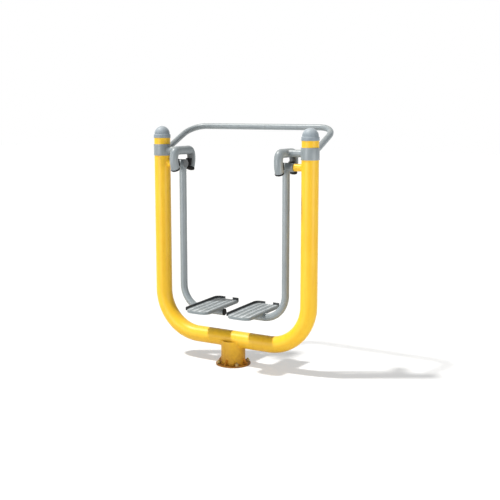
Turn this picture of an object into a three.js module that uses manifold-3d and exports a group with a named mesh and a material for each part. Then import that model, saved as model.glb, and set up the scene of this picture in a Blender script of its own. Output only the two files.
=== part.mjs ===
// Outdoor air walker: a yellow U frame on a bolted pedestal, with two legs that hang and
// swing one by one from pivots near the tops of the posts, and a handrail behind them.
// Lengths are in millimetres. +X is to the right, +Y is away from the front, +Z is up,
// and the origin is the centre of the underside of the base plate.

import * as THREE from 'three';
import { mergeVertices } from 'three/addons/utils/BufferGeometryUtils.js';
import Module from 'manifold-3d';

// Fits
const seatGap = 0.3;
const cutOverrun = 5;
const runningGap = 1.5;

// U frame
const frameDiameter = 114;
const frameWall = 4;
const postSpacing = 1186;
const frameBendRadius = 300;
const bottomTubeHeight = 180;
const postHeight = 1570;

// Pedestal, base plate, webs and anchors
const pedestalDiameter = 170;
const pedestalWall = 6;
const pedestalRimDrop = 7;
const flangeDiameter = 244;
const flangeThickness = 10;
const gussetHeight = 38;
const gussetWidth = 32;
const gussetToe = 8;
const gussetThickness = 8;
const anchorCount = 4;
const anchorCircleRadius = 104;
const anchorDiameter = 16;
const anchorHoleDiameter = 18;
const anchorWasherDiameter = 30;
const anchorWasherThickness = 3;
const anchorNutWidth = 24;
const anchorNutHeight = 13;
const anchorTipHeight = 8;

// Post caps
const capWall = 4;
const capCollarDiameter = 119;
const capCollarHeight = 26;
const capDomeDiameter = 109;
const capDomeHeight = 57;
const capSpigotLength = 24;
const capShoulder = 3;

// Bands round the posts
const bandDrop = 44;
const bandHeight = 80;
const bandWall = 3.7;

// Handrail
const railDiameter = 42;
const railWall = 3;
const railReach = 380;
const railBendRadius = 125;
const railRootRise = 6;
const railSlopeDegrees = 26;

// Guard hoops and their arms
const armDiameter = 50;
const armWall = 3;
const hoopDiameter = 60;
const hoopWall = 3.5;
const hoopSpacing = 210;
const hoopCornerRadius = 34;
const hoopCornerDegrees = 78;
const hoopLimbRadius = 157;
const hoopLimbDegrees = 32;
const hoopEndRun = 16;
const plugFlange = 3;
const plugLength = 14;
const guardPlugCrown = 9;
const legPlugCrown = 2;
const bufferWidth = 34;
const bufferThickness = 14;
const bufferRise = 28;
const bufferFootGap = 2;

// Pivots
const pivotDrop = 92;
const stubDiameter = 50;
const shaftDiameter = 30;
const bearingBore = 25;
const bearingDiameter = 52;
const bearingWidth = 15;
const bearingRing = 4;
const bearingSealDepth = 1;
const bearingInset = 2;
const spacerWall = 3;
const hubDiameter = 60;
const hubLength = 86;
const hubLand = 3;
const hubCapFlange = 2.5;
const hubCapSpigot = 4;
const nutWidth = 36;
const nutHeight = 8;
const nutRoom = 2;
const shaftTipDiameter = 20;

// Legs
const legInset = 177;
const legDiameter = 50;
const legWall = 3;
const legBendRadius = 168;
const legBottomHeight = 363;

// Pedals
const pedalOffset = 168;
const pedalWidth = 188;
const pedalBack = 195;
const pedalFront = 220;
const pedalFrontCorner = 60;
const pedalLeftRadius = 36;
const pedalRightRadius = 12;
const pedalRise = 43;
const pedalTiltDegrees = 1.9;
const pedalPlate = 3;
const pedalSkirt = 20;
const pedalNotchGap = 3;
const treadRibCount = 8;
const treadRibWidth = 6;
const treadRibHeight = 2.4;
const treadMargin = 16;
const kerbThickness = 4;
const kerbRise = 15;
const kerbOverlap = 11;
const kerbFrontSetback = 24;
const kerbGapStartShare = 0.385;
const kerbGapEndShare = 0.715;
const saddleLength = 120;
const saddleWidth = 100;
const saddlePlate = 5;
const saddleWeb = 36;
const screwDiameter = 10;
const screwHeadDiameter = 20;
const screwHeadHeight = 2;
const screwNutDiameter = 18;
const screwNutHeight = 7;
const screwSpread = 36;
const screwTip = 2;

// Sides of the round sections, and steps along their bends
const frameSides = 24;
const capSides = 20;
const legSides = 16;
const hoopSides = 16;
const railSides = 12;
const smallSides = 12;
const screwSides = 8;
const frameBendSteps = 8;
const legBendSteps = 6;
const railBendSteps = 5;
const hoopCornerSteps = 4;
const hoopLimbSteps = 2;
const domeSteps = 4;
const crownSteps = 2;
const outlineSteps = 5;
const fullTurn = 2 * Math.PI;
const quarterTurn = Math.PI / 2;

// Places and angles that follow from the sizes above
const radians = THREE.MathUtils.degToRad;
const bandTop = postHeight - bandDrop;
const bandMiddle = bandTop - bandHeight / 2;
const bandRadius = frameDiameter / 2 + seatGap + bandWall;
const pivotHeight = bandMiddle - pivotDrop;
const postX = postSpacing / 2;
const legX = postX - legInset;
const pedalTopHeight = legBottomHeight + pedalRise;
const legEnd = pedalOffset - pedalWidth / 2;
const hubInnerX = legX - legDiameter / 2;
const hubOuterX = hubInnerX + hubLength;
const stubEndX = hubOuterX + runningGap;
const hoopSplay = quarterTurn - radians(hoopCornerDegrees);
const hoopLean = radians(hoopLimbDegrees) - hoopSplay;

const up = new THREE.Vector3(0, 0, 1);
const right = new THREE.Vector3(1, 0, 0);
const back = new THREE.Vector3(0, 1, 0);

const wasm = await Module();
wasm.setup();

// Paints
function paint(name, color, roughness, metalness) {
  return new THREE.MeshStandardMaterial({ name, color, roughness, metalness });
}
const yellowPaint = paint('yellow paint', 0xfccf3f, 0.35, 0);
const greyPaint = paint('grey paint', 0x9aa3a8, 0.42, 0);
const capPlastic = paint('grey plastic', 0xaab3b8, 0.5, 0);
const blackRubber = paint('black rubber', 0x141414, 0.8, 0);
const darkPlastic = paint('dark plastic', 0x3a3d40, 0.6, 0);
const bareSteel = paint('bare steel', 0x8d9092, 0.35, 1);
const zinc = paint('zinc plate', 0xb9b6a8, 0.4, 1);

// A centreline that starts at a point with a heading and takes straight runs and round bends
// about one axis. It holds a station at each end of a run and at each step of a bend.
class BentLine extends THREE.Curve {
  constructor(start, heading, axis) {
    super();
    this.axis = axis;
    this.stations = [{ point: start, heading }];
  }

  get start() {
    return this.stations[0];
  }

  get end() {
    return this.stations[this.stations.length - 1];
  }

  run(length) {
    const { point, heading } = this.end;
    this.stations.push({ point: point.clone().addScaledVector(heading, length), heading });
    return this;
  }

  bend(radius, degrees, steps) {
    const { point, heading } = this.end;
    const centre = point.clone().addScaledVector(this.axis.clone().cross(heading), radius);
    for (let step = 1; step <= steps; step += 1) {
      const turn = radians(degrees) * step / steps;
      const spoke = point.clone().sub(centre).applyAxisAngle(this.axis, turn);
      this.stations.push({
        point: centre.clone().add(spoke),
        heading: heading.clone().applyAxisAngle(this.axis, turn),
      });
    }
    return this;
  }

  getSpacedPoints() {
    return this.stations.map((station) => station.point.clone());
  }

  getTangentAt(share) {
    return this.stations[Math.round(share * (this.stations.length - 1))].heading.clone();
  }
}

function straight(from, to) {
  const heading = to.clone().sub(from).normalize();
  return new BentLine(from, heading, up).run(from.distanceTo(to));
}

// A round tube along a line, or a solid bar when the bore is 0
function tube(line, outside, bore, sides) {
  const section = new THREE.Shape();
  section.absarc(0, 0, outside / 2, 0, fullTurn, false);
  if (bore > 0) {
    const hole = new THREE.Path();
    hole.absarc(0, 0, bore / 2, 0, fullTurn, true);
    section.holes.push(hole);
  }
  return new THREE.ExtrudeGeometry(section, {
    steps: line.stations.length - 1,
    curveSegments: sides / 2,
    bevelEnabled: false,
    extrudePath: line,
  });
}

// A body of revolution about Z from pairs of radius and height
function lathe(profile, sides) {
  const points = profile.map(([radius, height]) => new THREE.Vector2(radius, height));
  return new THREE.LatheGeometry(points, sides).rotateX(quarterTurn);
}

function ring(outerRadius, innerRadius, bottom, top, sides) {
  return lathe([
    [innerRadius, bottom],
    [outerRadius, bottom],
    [outerRadius, top],
    [innerRadius, top],
    [innerRadius, bottom],
  ], sides);
}

// The radius of a faceted bore that stays the seat gap clear of a round bar
function boreRadius(diameter, sides) {
  return (diameter / 2 + seatGap) / Math.cos(Math.PI / sides);
}

// The radius of a round plug that stays the seat gap clear of a faceted bore
function plugRadius(bore, sides) {
  return (bore / 2) * Math.cos(Math.PI / sides) - seatGap;
}

// A bar about Z that cuts such a bore
function boreCutter(diameter, length, sides) {
  const radius = boreRadius(diameter, sides);
  return new THREE.CylinderGeometry(radius, radius, length, sides).rotateX(quarterTurn);
}

function box(xSize, ySize, bottom, top) {
  return new THREE.BoxGeometry(xSize, ySize, top - bottom).translate(0, 0, (top + bottom) / 2);
}

// An outline in the XY plane raised from one height to another
function slab(shape, bottom, top, curveSegments) {
  const depth = top - bottom;
  const options = { depth, bevelEnabled: false, curveSegments };
  return new THREE.ExtrudeGeometry(shape, options).translate(0, 0, bottom);
}

// A closed mesh as a solid for joining and cutting, and back
function solidOf(geometry) {
  const bare = geometry.clone();
  bare.deleteAttribute('normal');
  bare.deleteAttribute('uv');
  const welded = mergeVertices(bare);
  const corners = welded.index.array;
  const kept = [];
  for (let first = 0; first < corners.length; first += 3) {
    const [a, b, c] = corners.slice(first, first + 3);
    if (a !== b && b !== c && c !== a) {
      kept.push(a, b, c);
    }
  }
  return new wasm.Manifold(new wasm.Mesh({
    numProp: 3,
    vertProperties: new Float32Array(welded.attributes.position.array),
    triVerts: new Uint32Array(kept),
  }));
}

function geometryOf(solid) {
  const mesh = solid.getMesh();
  const geometry = new THREE.BufferGeometry();
  geometry.setAttribute('position', new THREE.BufferAttribute(mesh.vertProperties, 3));
  geometry.setIndex(new THREE.BufferAttribute(mesh.triVerts, 1));
  geometry.computeVertexNormals();
  return geometry;
}

function cut(geometry, ...cutters) {
  const cutAway = (solid, cutter) => solid.subtract(solidOf(cutter));
  return geometryOf(cutters.reduce(cutAway, solidOf(geometry)));
}

function overlap(geometry, other) {
  return geometryOf(solidOf(geometry).intersect(solidOf(other)));
}

function join(geometry, ...others) {
  const fuse = (solid, other) => solid.add(solidOf(other));
  return geometryOf(others.reduce(fuse, solidOf(geometry)));
}

function piece(name, geometry, material) {
  const mesh = new THREE.Mesh(geometry, material);
  mesh.name = name;
  return mesh;
}

// A line through the frame tube, from the left post top down and up the right post
function frameLine() {
  const start = new THREE.Vector3(-postX, 0, postHeight);
  const postRun = postHeight - bottomTubeHeight - frameBendRadius;
  return new BentLine(start, up.clone().negate(), back.clone().negate())
    .run(postRun)
    .bend(frameBendRadius, 90, frameBendSteps)
    .run(postSpacing - 2 * frameBendRadius)
    .bend(frameBendRadius, 90, frameBendSteps)
    .run(postRun);
}

// U frame, pedestal, base plate, webs and anchors
function base() {
  const group = new THREE.Group();
  const line = frameLine();
  const frameBore = frameDiameter - 2 * frameWall;
  group.add(piece('frame_tube', tube(line, frameDiameter, frameBore, frameSides), yellowPaint));

  const radius = pedestalDiameter / 2;
  const foot = flangeThickness + seatGap;
  const rim = bottomTubeHeight - pedestalRimDrop;
  const column = ring(radius, radius - pedestalWall, foot, rim, frameSides);
  const saddleCut = tube(line, frameDiameter + 2 * seatGap, 0, frameSides);
  group.add(piece('pedestal_tube', cut(column, saddleCut), yellowPaint));

  const disc = new THREE.Shape();
  disc.absarc(0, 0, flangeDiameter / 2, 0, fullTurn, false);
  const holes = [];
  for (let index = 0; index < anchorCount; index += 1) {
    const angle = fullTurn * (index + 1 / 2) / anchorCount;
    const centreX = anchorCircleRadius * Math.cos(angle);
    const centreY = anchorCircleRadius * Math.sin(angle);
    holes.push(anchorHole().translate(centreX, centreY, 0));
    const anchor = piece(`anchor_bolt_${index + 1}`, anchorBolt(), zinc);
    anchor.position.set(centreX, centreY, 0);
    group.add(anchor);
  }
  const plate = cut(slab(disc, 0, flangeThickness, frameSides / 2), ...holes);
  group.add(piece('base_flange', plate, yellowPaint));

  const gussetNames = ['right', 'back', 'left', 'front'];
  gussetNames.forEach((place, index) => {
    const gusset = piece(`base_gusset_${place}`, gussetWeb(), yellowPaint);
    gusset.rotation.z = fullTurn * index / gussetNames.length;
    group.add(gusset);
  });
  return group;
}

// A triangular web with a blunt toe, standing on the base plate against the pedestal
function gussetWeb() {
  const web = new THREE.Shape();
  web.moveTo(0, 0);
  web.lineTo(gussetWidth, 0);
  web.lineTo(gussetWidth, gussetToe);
  web.lineTo(gussetToe, gussetHeight);
  web.lineTo(0, gussetHeight);
  web.closePath();
  const geometry = slab(web, -gussetThickness / 2, gussetThickness / 2, 1);
  return geometry
    .rotateX(quarterTurn)
    .translate(pedestalDiameter / 2 + seatGap, 0, flangeThickness + seatGap);
}

function anchorHole() {
  const radius = anchorHoleDiameter / 2;
  const length = flangeThickness + 2 * cutOverrun;
  return new THREE.CylinderGeometry(radius, radius, length, screwSides)
    .rotateX(quarterTurn)
    .translate(0, 0, flangeThickness / 2);
}

// The end of an anchor stud with its washer and nut
function anchorBolt() {
  const washerBottom = flangeThickness + seatGap;
  const washerTop = washerBottom + anchorWasherThickness;
  const nutTop = washerTop + anchorNutHeight;
  const stud = new THREE.CylinderGeometry(
    anchorDiameter / 2, anchorDiameter / 2, nutTop + anchorTipHeight, screwSides,
  ).rotateX(quarterTurn).translate(0, 0, (nutTop + anchorTipHeight) / 2);
  const washer = lathe([
    [0, washerBottom],
    [anchorWasherDiameter / 2, washerBottom],
    [anchorWasherDiameter / 2, washerTop],
    [0, washerTop],
  ], smallSides);
  return join(stud, washer, hexagon(anchorNutWidth, washerBottom, nutTop));
}

function hexagon(widthAcrossFlats, bottom, top) {
  const radius = widthAcrossFlats / Math.sqrt(3);
  return lathe([
    [0, bottom],
    [radius, bottom],
    [radius, top],
    [0, top],
  ], 6);
}

// A domed cap with a collar over the tube end and a spigot inside it
function postCap() {
  const spigotRadius = plugRadius(frameDiameter - 2 * frameWall, frameSides);
  const innerRadius = spigotRadius - capWall;
  const domeRadius = capDomeDiameter / 2;
  const collarRadius = capCollarDiameter / 2;
  const inside = [];
  const outside = [];
  for (let step = 0; step <= domeSteps; step += 1) {
    const angle = quarterTurn * step / domeSteps;
    outside.push([
      domeRadius * Math.cos(angle),
      capCollarHeight + capDomeHeight * Math.sin(angle),
    ]);
  }
  for (let step = domeSteps; step >= 0; step -= 1) {
    const angle = quarterTurn * step / domeSteps;
    inside.push([
      (domeRadius - capWall) * Math.cos(angle),
      capCollarHeight + (capDomeHeight - capWall) * Math.sin(angle),
    ]);
  }
  inside[0][0] = 0;
  outside[domeSteps][0] = 0;
  return lathe([
    ...inside,
    [innerRadius, 0],
    [innerRadius, -capSpigotLength],
    [spigotRadius, -capSpigotLength],
    [spigotRadius, seatGap],
    [collarRadius, seatGap],
    [collarRadius, capCollarHeight - capShoulder],
    [collarRadius - capShoulder, capCollarHeight],
    ...outside,
  ], capSides);
}

// A tube end plug about Z: its crowned flange covers the tube's end, which lies at height 0
function endPlug(outside, bore, crown, sides) {
  const flangeRadius = outside / 2;
  const spigotRadius = plugRadius(bore, sides);
  const flangeTop = seatGap + plugFlange;
  const crowned = [];
  for (let step = 0; step < crownSteps; step += 1) {
    const angle = quarterTurn * step / crownSteps;
    crowned.push([flangeRadius * Math.cos(angle), flangeTop + crown * Math.sin(angle)]);
  }
  return lathe([
    [0, -plugLength],
    [spigotRadius, -plugLength],
    [spigotRadius, seatGap],
    [flangeRadius, seatGap],
    ...crowned,
    [0, flangeTop + crown],
  ], sides);
}

function placeAt(mesh, point, outward) {
  mesh.position.copy(point);
  mesh.quaternion.setFromUnitVectors(up, outward);
  return mesh;
}

// Grey handrail behind the posts: two arms that rise from the bands, and the bar they carry
function handrail() {
  const slope = radians(railSlopeDegrees);
  const heading = new THREE.Vector3(0, Math.cos(slope), Math.sin(slope));
  const axis = new THREE.Vector3(0, -Math.sin(slope), Math.cos(slope));
  const rootHeight = bandMiddle + railRootRise - bandRadius * Math.tan(slope);
  const start = new THREE.Vector3(postX, 0, rootHeight);
  const armRun = railReach / Math.cos(slope) - railBendRadius;
  const line = new BentLine(start, heading, axis)
    .run(armRun)
    .bend(railBendRadius, 90, railBendSteps)
    .run(postSpacing - 2 * railBendRadius)
    .bend(railBendRadius, 90, railBendSteps)
    .run(armRun);
  const bandCutters = [-postX, postX].map((x) => (
    boreCutter(2 * bandRadius, 2 * bandHeight, frameSides).translate(x, 0, bandMiddle)
  ));
  const rail = tube(line, railDiameter, railDiameter - 2 * railWall, railSides);
  return piece('handrail', cut(rail, ...bandCutters), greyPaint);
}

// A line round the guard hoop, from the lower end of its front limb over to the rear one.
// Its limbs stand widest a little below the corners and lean in towards their feet.
function hoopLine() {
  const limbInset = hoopLimbRadius * (1 - Math.cos(hoopLean)) + hoopEndRun * Math.sin(hoopLean);
  const cornerFall = hoopCornerRadius * (1 - Math.sin(hoopSplay));
  const limbFall = hoopLimbRadius * (Math.sin(hoopLean) + Math.sin(hoopSplay));
  const footHeight = bandMiddle - cornerFall - limbFall - hoopEndRun * Math.cos(hoopLean);
  const start = new THREE.Vector3(legX, limbInset - hoopSpacing / 2, footHeight);
  const heading = new THREE.Vector3(0, -Math.sin(hoopLean), Math.cos(hoopLean));
  const splayInset = hoopLimbRadius * (1 - Math.cos(hoopSplay));
  const cornerInset = splayInset + hoopCornerRadius * Math.cos(hoopSplay);
  return new BentLine(start, heading, right.clone().negate())
    .run(hoopEndRun)
    .bend(hoopLimbRadius, hoopLimbDegrees, hoopLimbSteps)
    .bend(hoopCornerRadius, hoopCornerDegrees, hoopCornerSteps)
    .run(hoopSpacing - 2 * cornerInset)
    .bend(hoopCornerRadius, hoopCornerDegrees, hoopCornerSteps)
    .bend(hoopLimbRadius, hoopLimbDegrees, hoopLimbSteps)
    .run(hoopEndRun);
}

// A curved rubber pad along the inner face of the rear limb, where the leg meets it
function stopBuffer(line) {
  const sleeve = tube(
    line,
    hoopDiameter + 2 * bufferThickness,
    hoopDiameter + 2 * seatGap,
    hoopSides,
  );
  const foot = line.end.point;
  const bottom = foot.z + hoopDiameter / 2 * Math.sin(hoopLean) + bufferFootGap;
  const depth = hoopDiameter / 2 + bufferThickness;
  const reach = box(bufferWidth, depth, bottom, pivotHeight + bufferRise)
    .translate(legX, foot.y - depth / 2, 0);
  return overlap(sleeve, reach);
}

// The band, cap and guard of one post, for the post on the +X side
function postFittings(side, turnedName) {
  const group = new THREE.Group();
  const cap = piece(`post_cap_${side}`, postCap(), capPlastic);
  cap.position.set(postX, 0, postHeight);
  const bandBore = boreRadius(frameDiameter, frameSides);
  const bandRing = ring(bandRadius, bandBore, bandTop - bandHeight, bandTop, frameSides);
  const band = piece(`post_sleeve_${side}`, bandRing, greyPaint);
  band.position.x = postX;
  group.add(cap, band);

  const line = hoopLine();
  const hoopBore = hoopDiameter - 2 * hoopWall;
  const hoop = tube(line, hoopDiameter, hoopBore, hoopSides);
  const hoopCutter = tube(line, hoopDiameter + 2 * seatGap, 0, hoopSides);
  group.add(piece(`guard_hoop_${side}`, hoop, greyPaint));

  const armLine = straight(
    new THREE.Vector3(legX, 0, bandMiddle),
    new THREE.Vector3(postX, 0, bandMiddle),
  );
  const bandCutter = boreCutter(2 * bandRadius, bandHeight, frameSides)
    .translate(postX, 0, bandMiddle);
  const arm = tube(armLine, armDiameter, armDiameter - 2 * armWall, hoopSides);
  group.add(piece(`guard_arm_${side}`, cut(arm, hoopCutter, bandCutter), greyPaint));

  const plugAt = (place, point, outward) => {
    const plug = endPlug(hoopDiameter, hoopBore, guardPlugCrown, hoopSides);
    group.add(placeAt(piece(`guard_plug_${side}_${place}`, plug, blackRubber), point, outward));
  };
  plugAt(turnedName('front'), line.start.point, line.start.heading.clone().negate());
  plugAt(turnedName('rear'), line.end.point, line.end.heading);

  const rearPad = stopBuffer(line);
  const frontPad = rearPad.clone().translate(-legX, 0, 0).rotateZ(Math.PI).translate(legX, 0, 0);
  group.add(piece(`stop_buffer_${side}_${turnedName('rear')}`, rearPad, blackRubber));
  group.add(piece(`stop_buffer_${side}_${turnedName('front')}`, frontPad, blackRubber));
  return group;
}

// The boss on the post, and the shaft, bearings and nut that carry the hub of the leg.
// Each is turned about Z from its place along the shaft, then laid along X.
function pivotParts(side) {
  const group = new THREE.Group();
  const lay = (name, geometry, material) => {
    const mesh = piece(`${name}_${side}`, geometry.rotateY(quarterTurn), material);
    mesh.position.z = pivotHeight;
    group.add(mesh);
  };

  const stubLine = straight(
    new THREE.Vector3(0, 0, stubEndX),
    new THREE.Vector3(0, 0, postX),
  );
  const stubBore = 2 * boreRadius(shaftDiameter, legSides);
  const stub = tube(stubLine, stubDiameter, stubBore, legSides);
  const postCutter = boreCutter(frameDiameter, stubDiameter + 2 * cutOverrun, frameSides)
    .rotateY(quarterTurn)
    .translate(0, 0, postX);
  lay('pivot_stub', cut(stub, postCutter), yellowPaint);

  const outerFace = hubOuterX - bearingInset;
  const shaftEnd = hubInnerX + hubCapSpigot + nutRoom;
  const innerFace = shaftEnd + nutHeight + seatGap;
  const shoulder = outerFace + seatGap;
  lay('pivot_shaft', lathe([
    [0, shaftEnd],
    [shaftTipDiameter / 2, shaftEnd],
    [shaftTipDiameter / 2, innerFace],
    [bearingBore / 2, innerFace],
    [bearingBore / 2, shoulder],
    [shaftDiameter / 2, shoulder],
    [shaftDiameter / 2, postX - frameDiameter / 2 - seatGap],
    [0, postX - frameDiameter / 2 - seatGap],
  ], smallSides), bareSteel);

  const nutBore = boreCutter(shaftTipDiameter, nutHeight + 2 * cutOverrun, smallSides)
    .translate(0, 0, shaftEnd + nutHeight / 2);
  lay('lock_nut', cut(hexagon(nutWidth, shaftEnd, shaftEnd + nutHeight), nutBore), bareSteel);

  lay('bearing_inner', bearing(innerFace), bareSteel);
  lay('bearing_outer', bearing(outerFace - bearingWidth), bareSteel);
  const spacerBore = boreRadius(bearingBore, smallSides);
  lay('bearing_spacer', ring(
    spacerBore + spacerWall,
    spacerBore,
    innerFace + bearingWidth + seatGap,
    outerFace - bearingWidth - seatGap,
    smallSides,
  ), bareSteel);

  const hubSeat = boreRadius(bearingDiameter, legSides);
  const land = hubSeat - hubLand;
  lay('hub_sleeve', lathe([
    [hubSeat, hubInnerX],
    [hubDiameter / 2, hubInnerX],
    [hubDiameter / 2, hubOuterX],
    [hubSeat, hubOuterX],
    [hubSeat, outerFace - bearingWidth - seatGap],
    [land, outerFace - bearingWidth - seatGap],
    [land, innerFace + bearingWidth + seatGap],
    [hubSeat, innerFace + bearingWidth + seatGap],
    [hubSeat, hubInnerX],
  ], legSides), greyPaint);

  const capSpigot = bearingDiameter / 2;
  lay('hub_cap', lathe([
    [0, hubInnerX - seatGap - hubCapFlange],
    [hubDiameter / 2, hubInnerX - seatGap - hubCapFlange],
    [hubDiameter / 2, hubInnerX - seatGap],
    [capSpigot, hubInnerX - seatGap],
    [capSpigot, hubInnerX + hubCapSpigot],
    [0, hubInnerX + hubCapSpigot],
  ], legSides), darkPlastic);
  return group;
}

// A deep-groove bearing about Z, with its seals set back between the two rings
function bearing(bottom) {
  const bore = boreRadius(bearingBore, smallSides);
  const radius = bearingDiameter / 2;
  const top = bottom + bearingWidth;
  return lathe([
    [bore, bottom],
    [bore + bearingRing, bottom],
    [bore + bearingRing, bottom + bearingSealDepth],
    [radius - bearingRing, bottom + bearingSealDepth],
    [radius - bearingRing, bottom],
    [radius, bottom],
    [radius, top],
    [radius - bearingRing, top],
    [radius - bearingRing, top - bearingSealDepth],
    [bore + bearingRing, top - bearingSealDepth],
    [bore + bearingRing, top],
    [bore, top],
    [bore, bottom],
  ], smallSides);
}

// The leg that hangs from the hub on the +X side, with the plug in its inner end
function leg(side) {
  const group = new THREE.Group();
  const start = new THREE.Vector3(legX, 0, pivotHeight);
  const line = new BentLine(start, up.clone().negate(), back)
    .run(pivotHeight - legBottomHeight - legBendRadius)
    .bend(legBendRadius, 90, legBendSteps)
    .run(legX - legBendRadius - legEnd);
  const legBore = legDiameter - 2 * legWall;
  const hubCutter = boreCutter(hubDiameter, hubLength + 2 * cutOverrun, legSides)
    .rotateY(quarterTurn)
    .translate(hubInnerX + hubLength / 2, 0, pivotHeight);
  const body = cut(tube(line, legDiameter, legBore, legSides), hubCutter);
  group.add(piece(`leg_tube_${side}`, body, greyPaint));
  const plug = endPlug(legDiameter, legBore, legPlugCrown, legSides);
  const plugPiece = piece(`leg_plug_${side}`, plug, blackRubber);
  group.add(placeAt(plugPiece, line.end.point, line.end.heading));
  return group;
}

// The outline of a pedal, drawn in by an inset: square sides, a bowed front, and a rear edge
// with a wide corner on its left and a tight one on its right
function pedalOutline(inset) {
  const half = pedalWidth / 2 - inset;
  const rear = pedalBack - inset;
  const front = -pedalFront + inset;
  const shoulder = -pedalFront + pedalFrontCorner;
  const bowShare = 0.5;
  const leftRadius = pedalLeftRadius - inset;
  const rightRadius = pedalRightRadius - inset;
  const outline = new THREE.Shape();
  outline.moveTo(half, shoulder);
  outline.absarc(half - rightRadius, rear - rightRadius, rightRadius, 0, quarterTurn, false);
  outline.absarc(-half + leftRadius, rear - leftRadius, leftRadius, quarterTurn, Math.PI, false);
  outline.lineTo(-half, shoulder);
  outline.bezierCurveTo(-half, front + inset, -half * bowShare, front, 0, front);
  outline.bezierCurveTo(half * bowShare, front, half, front + inset, half, shoulder);
  return outline;
}

// The foot platform: a thin plate with a skirt all round, ribs along its tread, and arches
// in the skirt where the leg tube passes
function pedalTray() {
  const bottom = pedalTopHeight - pedalSkirt;
  const underside = pedalTopHeight - pedalPlate;
  const block = slab(pedalOutline(0), bottom, pedalTopHeight, outlineSteps);
  const hollow = slab(pedalOutline(pedalPlate), bottom - cutOverrun, underside, outlineSteps);
  const ribTop = pedalTopHeight + treadRibHeight;
  const pitch = (pedalWidth - 2 * treadMargin) / (treadRibCount - 1);
  const ribs = [];
  for (let index = 0; index < treadRibCount; index += 1) {
    const x = -pedalWidth / 2 + treadMargin + pitch * index;
    const ribBack = pedalBack - treadMargin - pedalLeftRadius / 2;
    const ribFront = -pedalFront + pedalFrontCorner;
    const rib = box(treadRibWidth, ribBack - ribFront, underside, ribTop);
    ribs.push(rib.translate(x, (ribBack + ribFront) / 2, 0));
  }
  const passage = straight(
    new THREE.Vector3(-pedalWidth, 0, legBottomHeight),
    new THREE.Vector3(pedalWidth, 0, legBottomHeight),
  );
  const arch = tube(passage, legDiameter + 2 * pedalNotchGap, 0, legSides);
  const holes = [-screwSpread, screwSpread].flatMap((y) => [
    boreCutter(screwDiameter, pedalSkirt, smallSides).translate(0, y, pedalTopHeight),
    lathe([
      [0, pedalTopHeight],
      [boreRadius(screwHeadDiameter, smallSides), pedalTopHeight],
      [boreRadius(screwHeadDiameter, smallSides), ribTop + cutOverrun],
      [0, ribTop + cutOverrun],
    ], smallSides).translate(0, y, 0),
  ]);
  return cut(join(block, ...ribs), hollow, arch, ...holes);
}

// The dark raised edge along the left side and round the wide corner
function pedalKerb() {
  const inner = pedalWidth / 2 + seatGap;
  const outer = inner + kerbThickness;
  const centreX = -pedalWidth / 2 + pedalLeftRadius;
  const centreY = pedalBack - pedalLeftRadius;
  const innerRadius = pedalLeftRadius + seatGap;
  const outerRadius = innerRadius + kerbThickness;
  const gapX = pedalWidth * (kerbGapStartShare - 1 / 2);
  const front = -pedalFront + kerbFrontSetback;
  const strip = new THREE.Shape();
  strip.moveTo(-outer, front);
  strip.lineTo(-inner, front);
  strip.absarc(centreX, centreY, innerRadius, Math.PI, quarterTurn, true);
  strip.lineTo(gapX, centreY + innerRadius);
  strip.lineTo(gapX, centreY + outerRadius);
  strip.absarc(centreX, centreY, outerRadius, quarterTurn, Math.PI, false);
  strip.closePath();
  return slab(strip, pedalTopHeight - kerbOverlap, pedalTopHeight + kerbRise, outlineSteps);
}

// The short piece of the same edge past the gap, round the tight corner
function heelStop() {
  const from = pedalWidth * (kerbGapEndShare - 1 / 2);
  const centreX = pedalWidth / 2 - pedalRightRadius;
  const centreY = pedalBack - pedalRightRadius;
  const innerRadius = pedalRightRadius + seatGap;
  const outerRadius = innerRadius + kerbThickness;
  const strip = new THREE.Shape();
  strip.moveTo(from, centreY + innerRadius);
  strip.absarc(centreX, centreY, innerRadius, quarterTurn, 0, true);
  strip.absarc(centreX, centreY, outerRadius, 0, quarterTurn, false);
  strip.lineTo(from, centreY + outerRadius);
  strip.closePath();
  return slab(strip, pedalTopHeight - kerbOverlap, pedalTopHeight + kerbRise, outlineSteps);
}

// The plate under the tray, on a web that sits along the top of the leg tube
function pedalSaddle() {
  const top = pedalTopHeight - pedalPlate - seatGap;
  const plate = box(saddleLength, saddleWidth, top - saddlePlate, top);
  const web = box(saddleLength, saddleWeb, legBottomHeight + legDiameter / 4, top);
  const passage = straight(
    new THREE.Vector3(-saddleLength, 0, legBottomHeight),
    new THREE.Vector3(saddleLength, 0, legBottomHeight),
  );
  const seat = tube(passage, legDiameter + 2 * seatGap, 0, legSides);
  const holes = [-screwSpread, screwSpread].map((y) => (
    boreCutter(screwDiameter, 2 * pedalSkirt, smallSides).translate(0, y, top)
  ));
  return cut(join(plate, web), seat, ...holes);
}

// A low-headed screw through tray and saddle, with its nut below
function pedalScrew() {
  const headBottom = pedalTopHeight + seatGap;
  const headTop = headBottom + screwHeadHeight;
  const nutTop = pedalTopHeight - pedalPlate - seatGap - saddlePlate - seatGap;
  const nutBottom = nutTop - screwNutHeight;
  const shank = screwDiameter / 2;
  return lathe([
    [0, nutBottom - screwTip],
    [shank, nutBottom - screwTip],
    [shank, nutBottom],
    [screwNutDiameter / 2, nutBottom],
    [screwNutDiameter / 2, nutTop],
    [shank, nutTop],
    [shank, headBottom],
    [screwHeadDiameter / 2, headBottom],
    [screwHeadDiameter / 2 - screwHeadHeight, headTop],
    [0, headTop],
  ], screwSides);
}

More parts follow.
